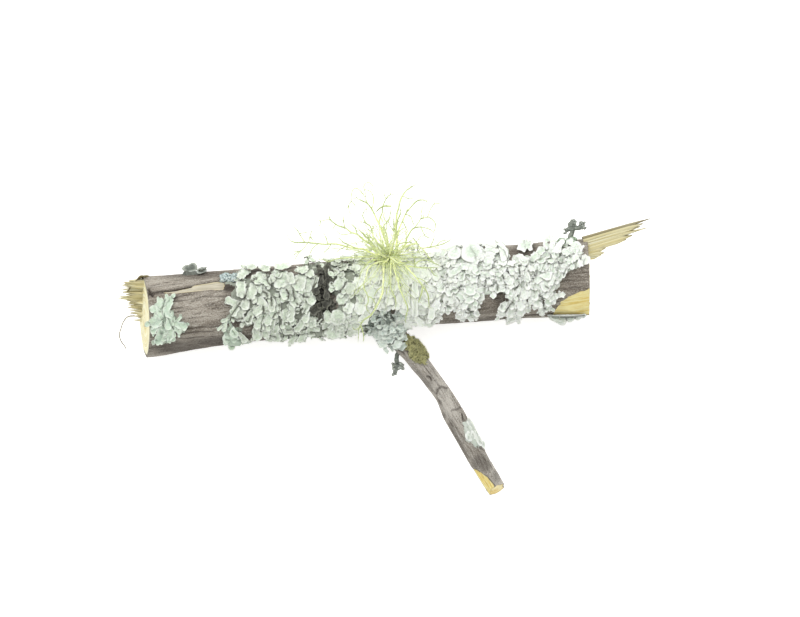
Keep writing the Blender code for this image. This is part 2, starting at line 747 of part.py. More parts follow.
def beard_stem(number, line, offshoots, colour_finish, holdfast_room):
    """One main stem of the beard lichen, with its offshoots joined to it."""
    fine = clear_of(smooth_rows(line, 24), holdfast_room)
    points = fine[np.linspace(0, len(fine) - 1, 8).round().astype(int)]
    stem = beard_tube(f"beard_stem_{number:02d}", points, STEM_ROOT, STEM_TIP)
    for share, reach in offshoots:
        begin = Vector(fine[round(share * (len(fine) - 1))])
        middle = begin + Vector(reach) * 0.5 + Vector((0, 0, 0.5))
        offshoot = (begin, middle, begin + Vector(reach))
        boolean(stem, beard_tube("offshoot", offshoot, STEM_TIP * 1.05, STEM_TIP * 0.85), "UNION")
    dress(stem, colour_finish)
    return stem


def beard_holdfast(twig, rooms):
    """The knob that roots the beard lichen in the bark."""

    def build(bm):
        heart = Vector(BEARD_HEART)
        foot = twig.point(BEARD_HEART[0], 36, -0.4)
        add_rod(bm, (tuple(foot), tuple(heart)), (2.9, 2.3))
        for turn in range(6):
            swing = math.radians(60 * turn)
            side_step = Vector((math.cos(swing), math.sin(swing) * 0.7, -math.sin(swing) * 0.7))
            add_bead(bm, foot + side_step * 2.4, 1.5)

    return moulded("beard_holdfast", build, 170, (0.42, 0.52, 0.22), rooms)


# ---------------------------------------------------------------- assembly
def build_twig():
    twig, side = twig_limb(), side_limb()
    twig_span = (-94.0, 80.0, 25, TWIG_SIDES)
    side_span = (4.0, side.measure[-1] - 1.0, 21, SIDE_SIDES)
    on_twig = loft("twig_room", twig, *twig_span, CLEARANCE)
    on_side = loft("side_room", side, *side_span, CLEARANCE)
    rooms = [on_twig, on_side]

    main_branch(twig, twig_span)
    side_branch(side, side_span, on_twig)

    def keep_room(obj):
        rooms.append(room_for(obj))
        return rooms[-1]

    splinter = torn_splinter()
    on_splinter = keep_room(splinter)
    bpy.data.objects.remove(splinter, do_unlink=True)
    on_black = keep_room(black_lichen(twig, [on_twig]))
    on_crust = keep_room(warty_crust("warty_crust_left", twig, (-53.3, 42), 2.4, 61, BLUE_GREY, [on_twig]))
    on_warts = keep_room(warty_crust("warty_crust_right", twig, (64.6, 24), 3.0, 62, GREEN_GREY, [on_twig, on_splinter]))
    on_stalks = keep_room(stalked_lobes([on_twig, on_splinter, on_warts]))
    on_lower = keep_room(lower_edge_rosette(twig, [on_twig]))
    on_holdfast = keep_room(beard_holdfast(twig, [on_twig]))
    on_moss = keep_room(moss_cushion(side, [on_side, on_twig]))
    on_fork = keep_room(fork_lichen(twig, side, [on_twig, on_side, on_moss]))
    on_fringe = keep_room(torn_end_fringe(twig, [on_twig]))
    cut_end_rosette(twig, [on_twig])
    side_branch_lichen(side, [on_side])
    dangling_lobes([on_side, on_fork, on_moss])
    upper_edge_flake(twig, [on_twig])
    middle = shield_lichen(
        "shield_lichen_middle", twig, MIDDLE_CLUMPS, 5, 900, PALE_GREEN,
        [on_twig, on_side, on_holdfast, on_moss, on_fork],
    )
    on_middle = keep_room(middle)
    shield_lichen(
        "shield_lichen_left", twig, LEFT_CLUMPS, 3, 1450, GREY_GREEN,
        [on_twig, on_black, on_crust, on_lower, on_fork, on_middle],
    )
    shield_lichen(
        "shield_lichen_right", twig, RIGHT_CLUMPS, 8, 1450, WHITE_GREEN,
        [on_twig, on_splinter, on_warts, on_stalks, on_fringe, on_middle],
    )
    beard = finish("beard", BEARD_GREEN, 0.8)
    for number, (line, offshoots) in enumerate(BEARD_STEMS, 1):
        beard_stem(number, line, offshoots, beard, on_holdfast)
    for room in rooms:
        bpy.data.objects.remove(room, do_unlink=True)


clear_scene()
build_twig()
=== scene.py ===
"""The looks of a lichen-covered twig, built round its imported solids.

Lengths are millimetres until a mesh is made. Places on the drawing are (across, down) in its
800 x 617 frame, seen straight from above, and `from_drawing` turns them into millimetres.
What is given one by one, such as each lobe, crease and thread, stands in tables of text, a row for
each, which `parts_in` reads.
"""

import logging
import math
from dataclasses import dataclass, field
from enum import Enum

import bpy
import numpy as np
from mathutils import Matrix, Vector, noise
from mathutils.bvhtree import BVHTree


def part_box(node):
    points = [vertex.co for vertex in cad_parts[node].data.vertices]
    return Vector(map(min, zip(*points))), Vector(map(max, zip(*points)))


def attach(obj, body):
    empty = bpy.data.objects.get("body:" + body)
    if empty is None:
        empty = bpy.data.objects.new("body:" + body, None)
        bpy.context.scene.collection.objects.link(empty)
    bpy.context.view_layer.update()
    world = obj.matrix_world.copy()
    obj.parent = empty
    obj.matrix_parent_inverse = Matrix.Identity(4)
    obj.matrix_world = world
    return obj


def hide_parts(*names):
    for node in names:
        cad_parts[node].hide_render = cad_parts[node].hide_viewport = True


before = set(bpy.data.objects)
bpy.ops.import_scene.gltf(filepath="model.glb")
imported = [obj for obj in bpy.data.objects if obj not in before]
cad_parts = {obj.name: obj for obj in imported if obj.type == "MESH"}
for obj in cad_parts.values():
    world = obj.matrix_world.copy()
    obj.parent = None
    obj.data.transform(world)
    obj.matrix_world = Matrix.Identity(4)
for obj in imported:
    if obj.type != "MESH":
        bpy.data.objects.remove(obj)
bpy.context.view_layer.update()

Array = np.ndarray
Spot = tuple[float, float]
Place = tuple[float, float, float]
Line = tuple[Spot, ...]

MM = 0.001
MM_PER_PIXEL = 0.34925
DRAWING_ORIGIN: Spot = (383.5, 339.0)
DRAWING_MIDDLE: Spot = (400.0, 308.5)
BODY = "root"
FLAT_DEPTH = 0.45  # how deep the worn underside cuts into the twig
SAWN_TILT = math.radians(9.0)
SAWN_X, TORN_X = -83.4, 71.4

log = logging.getLogger("lichen_twig")


class Slot(Enum):
    """The record's material slots."""

    BARK = "bark"
    SIDE_BARK = "side_bark"
    GREY_GREEN = "grey_green_lichen"
    PALE_GREEN = "pale_green_lichen"
    WHITE_GREEN = "white_green_lichen"
    MINT = "mint_lichen"
    BLUE_GREY = "blue_grey_lichen"
    CRUST = "green_grey_crust"
    BLACK = "black_lichen"
    MOSS = "moss"
    DARK = "dark_lichen"
    BEARD = "beard_lichen"


# ---------------------------------------------------------------- numbers and curves


def from_drawing(spot: Spot) -> Spot:
    """Turns a place on the drawing into millimetres.

    Args:
        spot: pixels across and down.

    Returns:
        X and Y in the twig's own frame.
    """
    across = (spot[0] - DRAWING_ORIGIN[0]) * MM_PER_PIXEL
    return across, (DRAWING_ORIGIN[1] - spot[1]) * MM_PER_PIXEL


def spots_in(text: str) -> Line:
    """Reads places: commas between the numbers of each, spaces between places."""
    return tuple(tuple(map(float, spot.split(","))) for spot in text.split())


def rows_in(text: str) -> list[str]:
    """The rows of a table; a line that starts with a space goes on with the row above it."""
    return [row for row in text.replace("\n ", " ").split("\n") if row]


def parts_in(kind: type, text: str) -> tuple:
    """Reads a table of drawn parts.

    Args:
        kind: the class of each part.
        text: a row for each, such as `340,307 338,315 | 5.2 1.6`: its places on the drawing, then
            a bar and its other values in the order of the class. Left out, they keep their usual ones.

    Returns:
        The parts, in the table's order.
    """
    cut = [row.partition("|") for row in rows_in(text)]
    return tuple(kind(spots_in(places), *map(float, values.split())) for places, _, values in cut)


def smoothstep(low: float, high: float, value: Array) -> Array:
    """A soft step from 0 at low to 1 at high."""
    share = np.clip((value - low) / (high - low), 0.0, 1.0)
    return share * share * (3.0 - 2.0 * share)


def smooth_rows(points: Array, steps: int = 6) -> Array:
    """Rows of numbers read off a Catmull-Rom curve, the same number between each two."""
    padded = np.vstack([2 * points[0] - points[1], points, 2 * points[-1] - points[-2]])
    out = []
    for i in range(1, len(padded) - 2):
        a, b, c, d = padded[i - 1 : i + 3]
        for t in np.arange(steps) / steps:
            cubic = (3 * b - a - 3 * c + d) * t**3
            out.append(0.5 * (2 * b + (c - a) * t + (2 * a - 5 * b + 4 * c - d) * t**2 + cubic))
    out.append(points[-1])
    return np.array(out)


def curve_through(points: Array, count: int, ease: float = 1.0) -> Array:
    """Reads points off a Catmull-Rom curve.

    Args:
        points: the places the curve passes through, one to a row.
        count: how many points to read, evenly by length.
        ease: above 1 crowds the points towards the far end.

    Returns:
        The points, one to a row.
    """
    dense = smooth_rows(np.asarray(points, float), 8)
    run = np.concatenate([[0], np.cumsum(np.linalg.norm(np.diff(dense, axis=0), axis=1))])
    wanted = (1 - (1 - np.linspace(0, 1, count)) ** ease) * run[-1]
    return np.stack([np.interp(wanted, run, dense[:, k]) for k in range(dense.shape[1])], axis=1)


def bumps(points: Array, seed: int = 0) -> Array:
    """Smooth random values from -1 to 1, one unit to a bump.

    Args:
        points: places, with three numbers in the last axis.
        seed: picks another pattern.

    Returns:
        One value for each place.
    """
    base = np.floor(points).astype(np.int64)
    part = points - base
    blend = part * part * (3 - 2 * part)
    total = np.zeros(points.shape[:-1])
    for corner in range(8):
        step = np.array([(corner >> k) & 1 for k in range(3)])
        cell = base + step
        mixed = cell[..., 0] * 374761393 + cell[..., 1] * 668265263 + cell[..., 2] * 2246822519
        mixed = mixed + np.int64(seed * 326648991)
        mixed = (mixed ^ (mixed >> 13)) * 1274126177
        mixed = mixed ^ (mixed >> 16)
        value = (mixed & 65535) / 32767.5 - 1.0
        total += value * np.prod(np.where(step, blend, 1 - blend), axis=-1)
    return total


def flat_bumps(first: Array, second: Array, seed: int = 0) -> Array:
    """Smooth random values over two coordinates."""
    return bumps(np.stack([first, second, np.full_like(first, 0.37)], axis=-1), seed)


def distance_to_outline(points: Array, outline: Array) -> Array:
    """How far points lie outside a closed outline.

    Args:
        points: X and Y in the last axis.
        outline: the corners, one to a row.

    Returns:
        Millimetres, below zero inside.
    """
    inside = np.zeros(points.shape[:-1], bool)
    nearest = np.full(points.shape[:-1], 1e9)
    for a, b in zip(outline, np.roll(outline, -1, axis=0)):
        along = b - a
        share = np.clip(((points - a) @ along) / (along @ along), 0, 1)
        nearest = np.minimum(nearest, np.linalg.norm(points - a - share[..., None] * along, axis=-1))
        crosses = (a[1] > points[..., 1]) != (b[1] > points[..., 1])
        rise = along[1] if along[1] else 1e-9
        inside ^= crosses & (points[..., 0] < a[0] + (points[..., 1] - a[1]) / rise * along[0])
    return np.where(inside, -nearest, nearest)


def on_drawing(outline: Line) -> Array:
    """An outline given on the drawing, in millimetres."""
    return np.array([from_drawing(spot) for spot in outline])


# ---------------------------------------------------------------- meshes


@dataclass
class Shape:
    """Points, faces and painted marks gathered for one piece."""

    points: list[Array] = field(default_factory=list)
    faces: list[Array] = field(default_factory=list)
    marks: dict[str, list[Array]] = field(default_factory=dict)
    grains: list[Array] = field(default_factory=list)
    count: int = 0

    # deep darkens: cracks, stains and painted shade on the bark, and painted shade on the lichens and moss.
    MARKS = ("edge", "deep", "bare", "tint")

    def add(self, points: Array, faces: Array, grain: Array, **marks: Array | float) -> None:
        """Adds one body to the shape.

        Args:
            points: places in millimetres, one to a row.
            faces: corner numbers, three or four to a row.
            grain: where each point lies in the material's own grain.
            marks: values painted on the points, each one number or one for each point.
        """
        self.points.append(points.reshape(-1, 3))
        self.faces.append(faces + self.count)
        size = len(self.points[-1])
        self.grains.append(grain.reshape(-1, 3))
        for name in self.MARKS:
            value = np.broadcast_to(np.asarray(marks.get(name, 0.0), float).reshape(-1), (size,))
            self.marks.setdefault(name, []).append(value)
        self.count += size

    def cap(self, rows: int, sides: int, first_turned: bool) -> None:
        """Closes both ends of the tube that was added last.

        Args:
            rows: how many rings of points it has.
            sides: how many points are in each ring.
            first_turned: whether the first end's face is turned over, and not the last end's.
        """
        for at, turned in ((0, first_turned), (rows - 1, not first_turned)):
            corner = self.count - (rows - at) * sides + np.arange(sides)
            if turned:
                corner = corner[::-1]
            self.faces.append(np.stack([np.full(sides - 2, corner[0]), corner[1:-1], corner[2:]], axis=-1))

    def make(self, name: str) -> bpy.types.Object:
        """Makes the object from what was gathered.

        Args:
            name: the piece's name.

        Returns:
            The new object, smooth shaded and in the scene.
        """
        mesh = bpy.data.meshes.new(name)
        sizes = np.concatenate([np.full(len(f), f.shape[1]) for f in self.faces])
        corners = np.concatenate([f.reshape(-1) for f in self.faces]).astype(np.int32)
        mesh.vertices.add(self.count)
        mesh.vertices.foreach_set("co", (np.concatenate(self.points) * MM).astype(np.float32).ravel())
        mesh.loops.add(len(corners))
        mesh.loops.foreach_set("vertex_index", corners)
        mesh.polygons.add(len(sizes))
        starts = np.concatenate([[0], np.cumsum(sizes)[:-1]]).astype(np.int32)
        mesh.polygons.foreach_set("loop_start", starts)
        mesh.update(calc_edges=True)
        for mark, values in self.marks.items():
            painted = mesh.attributes.new(mark, "FLOAT", "POINT")
            painted.data.foreach_set("value", np.concatenate(values).astype(np.float32))
        grain = mesh.attributes.new("grain", "FLOAT_VECTOR", "POINT")
        grain.data.foreach_set("vector", np.concatenate(self.grains).astype(np.float32).ravel())
        mesh.validate()
        mesh.shade_smooth()
        piece = bpy.data.objects.new(name, mesh)
        bpy.context.scene.collection.objects.link(piece)
        return piece

    def triangles(self) -> int:
        """How many triangles the faces make."""
        return sum(len(f) * (f.shape[1] - 2) for f in self.faces)


def grid_faces(rows: int, columns: int, wrapped: bool = False) -> Array:
    """Quads between the points of a grid that is stored row by row.

    Args:
        rows: points one way.
        columns: points the other way.
        wrapped: joins the last column to the first.

    Returns:
        Corner numbers, four to a row.
    """
    i, j = np.meshgrid(np.arange(rows - 1), np.arange(columns if wrapped else columns - 1), indexing="ij")
    nxt = (j + 1) % columns
    quad = np.stack([i * columns + j, (i + 1) * columns + j, (i + 1) * columns + nxt, i * columns + nxt], -1)
    return quad.reshape(-1, 4)


def hand_over(shape: Shape, name: str, finish: "Finish", slot: Slot, *nodes: str) -> None:
    """Makes a piece, dresses it and hides the CAD nodes that it stands for.

    Args:
        shape: what was gathered for the piece.
        name: the piece's name.
        finish: what its surface is.
        slot: the record's slot for it; not used.
        nodes: the CAD nodes that it replaces.
    """
    piece = shape.make(name)
    piece.data.materials.append(finish.material())
    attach(piece, BODY)
    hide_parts(*nodes)
    log.info("%s: %d triangles", name, shape.triangles())


# ---------------------------------------------------------------- finishes


Colour = tuple[float, float, float, float]
Socket = bpy.types.NodeSocket


def paint(red: float, green: float, blue: float) -> Colour:
    """A screen colour, 0 to 255 each, as the linear colour that shaders take."""
    shares = (red / 255, green / 255, blue / 255)
    return (*((c / 12.92) if c <= 0.04 else ((c + 0.055) / 1.055) ** 2.4 for c in shares), 1.0)


def colours(text: str) -> tuple[Colour, ...]:
    """Several screen colours, each written as red,green,blue."""
    return tuple(paint(*hue) for hue in spots_in(text))


class Bench:
    """Short calls for the nodes of one material."""

    def __init__(self, name: str) -> None:
        """Starts an empty material with that name."""
        self.material = bpy.data.materials.new(name)
        self.material.use_nodes = True
        self.tree = self.material.node_tree
        self.tree.nodes.clear()

    def node(self, kind: str, **settings: object) -> bpy.types.Node:
        """Adds a node and sets its properties."""
        made = self.tree.nodes.new(kind)
        for key, value in settings.items():
            setattr(made, key, value)
        return made

    def feed(self, socket: Socket, value: object) -> None:
        """Links or sets an input, whichever the value asks for."""
        if isinstance(value, bpy.types.NodeSocket):
            self.tree.links.new(value, socket)
        else:
            socket.default_value = value

    def mark(self, name: str) -> Socket:
        """The value painted on the mesh under that name."""
        return self.node("ShaderNodeAttribute", attribute_name=name).outputs["Fac"]

    def grain(self, stretch: Place = (1.0, 1.0, 1.0)) -> Socket:
        """The painted grain coordinates, scaled along each of their axes."""
        source = self.node("ShaderNodeAttribute", attribute_name="grain")
        scaled = self.node("ShaderNodeVectorMath", operation="MULTIPLY")
        self.feed(scaled.inputs[0], source.outputs["Vector"])
        scaled.inputs[1].default_value = stretch
        return scaled.outputs[0]

    def noise(self, place: Socket, scale: float, detail: float = 3.0, rough: float = 0.55) -> Socket:
        """Noise from 0 to 1 over the place."""
        made = self.node("ShaderNodeTexNoise")
        self.feed(made.inputs["Vector"], place)
        made.inputs["Scale"].default_value = scale
        made.inputs["Detail"].default_value = detail
        made.inputs["Roughness"].default_value = rough
        return made.outputs["Fac"]

    def maths(self, operation: str, first: object, second: object = 0.0) -> Socket:
        """One arithmetic step."""
        made = self.node("ShaderNodeMath", operation=operation)
        self.feed(made.inputs[0], first)
        self.feed(made.inputs[1], second)
        return made.outputs[0]

    def spread(self, value: Socket, low: float, high: float, most: float = 1.0) -> Socket:
        """Goes softly from 0 to most as the value goes from low to high."""
        made = self.node("ShaderNodeMapRange", interpolation_type="SMOOTHSTEP")
        self.feed(made.inputs["Value"], value)
        for name, number in (("From Min", low), ("From Max", high), ("To Max", most)):
            made.inputs[name].default_value = number
        return made.outputs["Result"]

    def mix(self, share: object, first: object, second: object) -> Socket:
        """Mixes two colours."""
        made = self.node("ShaderNodeMix", data_type="RGBA")
        self.feed(made.inputs["Factor"], share)
        self.feed(made.inputs[6], first)
        self.feed(made.inputs[7], second)
        return made.outputs[2]

    def lay(
        self, under: object, over: object, value: Socket, low: float, high: float, most: float = 1.0
    ) -> Socket:
        """Lays one colour over another as a value goes from low to high, at most to that share."""
        return self.mix(self.spread(value, low, high, most), under, over)

    def relief(self, height: Socket, strength: float, distance: float) -> Socket:
        """A normal tilted by the slopes of a height."""
        made = self.node("ShaderNodeBump")
        made.inputs["Strength"].default_value = strength
        made.inputs["Distance"].default_value = distance * MM
        self.feed(made.inputs["Height"], height)
        return made.outputs["Normal"]

    def close(
        self, colour: Socket, roughness: float, normal: Socket, soft: float = 0.0
    ) -> bpy.types.Material:
        """Ends the material with its shader.

        Args:
            colour: the base colour.
            roughness: one value for the whole surface.
            normal: the tilted normal.
            soft: the share of light that spreads inside the surface.

        Returns:
            The material.
        """
        shader = self.node("ShaderNodeBsdfPrincipled")
        self.feed(shader.inputs["Base Color"], colour)
        shader.inputs["Roughness"].default_value = roughness
        shader.inputs["Specular IOR Level"].default_value = 0.25
        if soft:
            shader.inputs["Subsurface Weight"].default_value = soft
            shader.inputs["Subsurface Radius"].default_value = (1.0, 1.0, 0.7)
            shader.inputs["Subsurface Scale"].default_value = 0.6 * MM
        self.feed(shader.inputs["Normal"], normal)
        output = self.node("ShaderNodeOutputMaterial")
        self.feed(output.inputs["Surface"], shader.outputs[0])
        return self.material


class Finish:
    """What a surface is made of; each kind says how its material is built."""

    def material(self) -> bpy.types.Material:
        """Builds the material."""
        raise NotImplementedError


@dataclass(frozen=True)
class BarkFinish(Finish):
    """Thin ridged bark, with bare wood where the marks say so."""

    name: str
    light: Colour
    middle: Colour
    dark: Colour
    fleck: Colour
    wood_pale: Colour = paint(240, 229, 170)
    wood_deep: Colour = paint(222, 196, 112)
    cream_pale: Colour = paint(200, 193, 175)
    cream_deep: Colour = paint(164, 155, 136)

    def material(self) -> bpy.types.Material:
        """Builds the bark: streaks along the grain, pale specks, dark cracks and stains, and painted shade
        where the `deep` mark says.
        """
        bench = Bench(self.name)
        broad = bench.noise(bench.grain((0.035, 0.16, 0.16)), 1.0, 3.0)
        streak = bench.noise(bench.grain((0.16, 1.5, 1.5)), 1.0, 4.0, 0.6)
        speck = bench.noise(bench.grain((1.9, 3.4, 3.4)), 1.0, 2.0, 0.6)
        body = bench.lay(self.middle, self.light, broad, 0.36, 0.66)
        body = bench.lay(body, self.dark, streak, 0.50, 0.70, 0.75)
        body = bench.lay(body, self.fleck, streak, 0.46, 0.28, 0.55)
        body = bench.lay(body, self.fleck, speck, 0.53, 0.67, 0.62)
        body = bench.lay(body, self.dark, speck, 0.45, 0.31, 0.68)
        # The deep mark holds cracks, fissures and stains, and painted shade along the twig's lower and upper
        # edges.
        body = bench.mix(bench.mark("deep"), body, paint(44, 36, 31))
        line = bench.noise(bench.grain((0.10, 2.6, 2.6)), 1.0, 3.0, 0.6)
        wood = bench.lay(self.wood_pale, self.wood_deep, line, 0.40, 0.66)
        cream = bench.lay(self.cream_pale, self.cream_deep, line, 0.40, 0.66)
        wood = bench.mix(bench.mark("tint"), wood, cream)
        wood = bench.lay(wood, paint(168, 128, 74), line, 0.66, 0.74, 0.7)
        body = bench.lay(body, wood, bench.mark("bare"), 0.35, 0.65)
        height = bench.maths("ADD", bench.maths("MULTIPLY", streak, 1.4), speck)
        return bench.close(body, 0.82, bench.relief(height, 0.55, 0.35))


@dataclass(frozen=True)
class WoodFinish(Finish):
    """Bare wood: sawn, split or torn along the grain."""

    name: str
    pale: Colour
    deep: Colour
    line: Colour

    def material(self) -> bpy.types.Material:
        """Builds the wood: soft bands and thin darker lines along the grain."""
        bench = Bench(self.name)
        band = bench.noise(bench.grain((0.05, 0.9, 0.9)), 1.0, 3.0)
        line = bench.noise(bench.grain((0.08, 3.2, 3.2)), 1.0, 3.0, 0.6)
        body = bench.lay(self.pale, self.deep, band, 0.36, 0.64)
        body = bench.lay(body, self.line, line, 0.56, 0.70, 0.75)
        body = bench.mix(bench.maths("MULTIPLY", bench.mark("tint"), 0.45), body, self.deep)
        body = bench.mix(bench.mark("deep"), body, paint(118, 106, 74))
        return bench.close(body, 0.74, bench.relief(line, 0.5, 0.25))


@dataclass(frozen=True)
class LobeFinish(Finish):
    """The skin of a leafy or crusty lichen."""

    name: str
    body: Colour
    other: Colour
    # rim is the lichen's paler margin and a painted highlight on the rolled edges; gap is the painted shade
    # in creases, between lobes and under them.
    rim: Colour
    gap: Colour
    belly: Colour
    speck: Colour
    speck_share: float = 0.35
    mottling: float = 0.45
    roughness: float = 0.86

    def material(self) -> bpy.types.Material:
        """Builds the skin: mottled body, pale rims that are partly painted highlight, powdery specks, a dark
        underside and painted shade.
        """
        bench = Bench(self.name)
        patch = bench.noise(bench.grain(), 0.32, 3.0)
        mottle = bench.noise(bench.grain(), 0.85, 2.0, 0.6)
        powder = bench.noise(bench.grain(), 2.4, 3.0, 0.65)
        tone = bench.maths("ADD", patch, bench.maths("MULTIPLY", bench.mark("tint"), 0.35))
        skin = bench.lay(self.body, self.other, tone, 0.42, 0.92)
        skin = bench.lay(skin, self.rim, mottle, 0.53, 0.68, self.mottling)
        skin = bench.lay(skin, self.speck, mottle, 0.46, 0.32, self.mottling)
        skin = bench.lay(skin, self.speck, powder, 0.54, 0.70, self.speck_share)
        skin = bench.lay(skin, self.rim, powder, 0.46, 0.30, self.speck_share)
        # Pale rims along the margins: the lichen's paler margin and a painted highlight on the rolled edges.
        skin = bench.lay(skin, self.rim, bench.mark("edge"), 0.45, 0.95, 0.85)
        # Painted shade where the deep mark is high: creases, low lobes, lobe roots, undersides, margins and
        # the carpet.
        skin = bench.mix(bench.mark("deep"), skin, self.gap)
        skin = bench.lay(skin, self.belly, bench.mark("bare"), 0.4, 0.6)
        height = bench.maths("ADD", bench.maths("MULTIPLY", patch, 0.6), powder)
        return bench.close(skin, self.roughness, bench.relief(height, 0.45, 0.3), soft=0.12)


@dataclass(frozen=True)
class ThreadFinish(Finish):
    """Threads and shoots whose colour runs from root to tip."""

    name: str
    root: Colour
    middle: Colour
    tip: Colour
    shade: Colour
    soft: float = 0.15

    def material(self) -> bpy.types.Material:
        """Builds the thread: `edge` runs root to tip and `tint` differs by thread."""
        bench = Bench(self.name)
        along = bench.mark("edge")
        body = bench.lay(self.root, self.middle, along, 0.0, 0.45)
        body = bench.lay(body, self.tip, along, 0.35, 0.9)
        patch = bench.noise(bench.grain(), 0.9, 2.0)
        body = bench.lay(body, self.shade, patch, 0.52, 0.72, 0.55)
        body = bench.lay(body, self.shade, bench.mark("tint"), 0.62, 1.0, 0.65)
        # The deep mark darkens towards the shade colour; on the moss it is painted shade at the shoots' feet,
        # in hollows between clumps and on the carpet.
        body = bench.mix(bench.mark("deep"), body, self.shade)
        powder = bench.noise(bench.grain(), 4.0, 2.0)
        return bench.close(body, 0.7, bench.relief(powder, 0.3, 0.12), soft=self.soft)


def tube(
    shape: Shape,
    path: Array,
    radii: Array,
    sides: int,
    tint: float,
    edge: Array | float = 0.0,
    deep: Array | float = 0.0,
    lumps: float = 0.0,
) -> None:
    """Adds a closed round body along a path.

    Args:
        shape: takes the mesh.
        path: points along its middle.
        radii: radius at each point.
        sides: how many sides it has.
        tint: which shade it has.
        edge: its share of the way from root to tip, at each point.
        deep: how dark it is, at each point.
        lumps: how uneven its skin is, as a share of its radius.
    """
    rows = len(path)
    along = np.gradient(path, axis=0)
    along /= np.linalg.norm(along, axis=1, keepdims=True) + 1e-9
    side = np.zeros_like(path)
    start = np.cross(along[0], (0.0, 0.0, 1.0) if abs(along[0, 2]) < 0.9 else (1.0, 0.0, 0.0))
    side[0] = start / np.linalg.norm(start)
    for row in range(1, rows):
        turned = side[row - 1] - along[row] * (side[row - 1] @ along[row])
        side[row] = turned / np.linalg.norm(turned)
    upward = np.cross(along, side)
    turn = 2 * math.pi * np.arange(sides) / sides
    spoke = side[:, None] * np.cos(turn)[:, None] + upward[:, None] * np.sin(turn)[:, None]
    ring = path[:, None] + spoke * radii[:, None, None]
    if lumps:
        swell = bumps(ring * 0.8, 5) + 0.6 * bumps(ring * 2.1, 6)
        ring = path[:, None] + spoke * (radii[:, None] * (1 + lumps * swell))[..., None]
    ring[..., 2] = np.maximum(ring[..., 2], 0.0)
    shape.add(
        ring,
        grid_faces(rows, sides, wrapped=True)[:, ::-1],
        ring + tint * 30.0,
        edge=np.repeat(np.broadcast_to(edge, rows), sides),
        deep=np.repeat(np.broadcast_to(deep, rows), sides),
        tint=tint,
    )
    shape.cap(rows, sides, first_turned=True)


def lump(shape: Shape, middle: Array, radius: float, tint: float, squash: float = 0.8) -> None:
    """Adds a small uneven round wart.

    Args:
        shape: takes the mesh.
        middle: its centre.
        radius: its radius.
        tint: which shade it has.
        squash: its height as a share of its width.
    """
    share = np.linspace(0.06, 0.94, 5)
    path = np.asarray(middle) + np.outer((share * 2 - 1) * radius * squash, (0.0, 0.0, 1.0))
    # edge rises towards the top, so each wart's top takes the pale rim colour: a painted highlight.
    tube(shape, path, radius * np.sin(share * math.pi), 6, tint, edge=share**2, lumps=0.25)


# ---------------------------------------------------------------- the two limbs


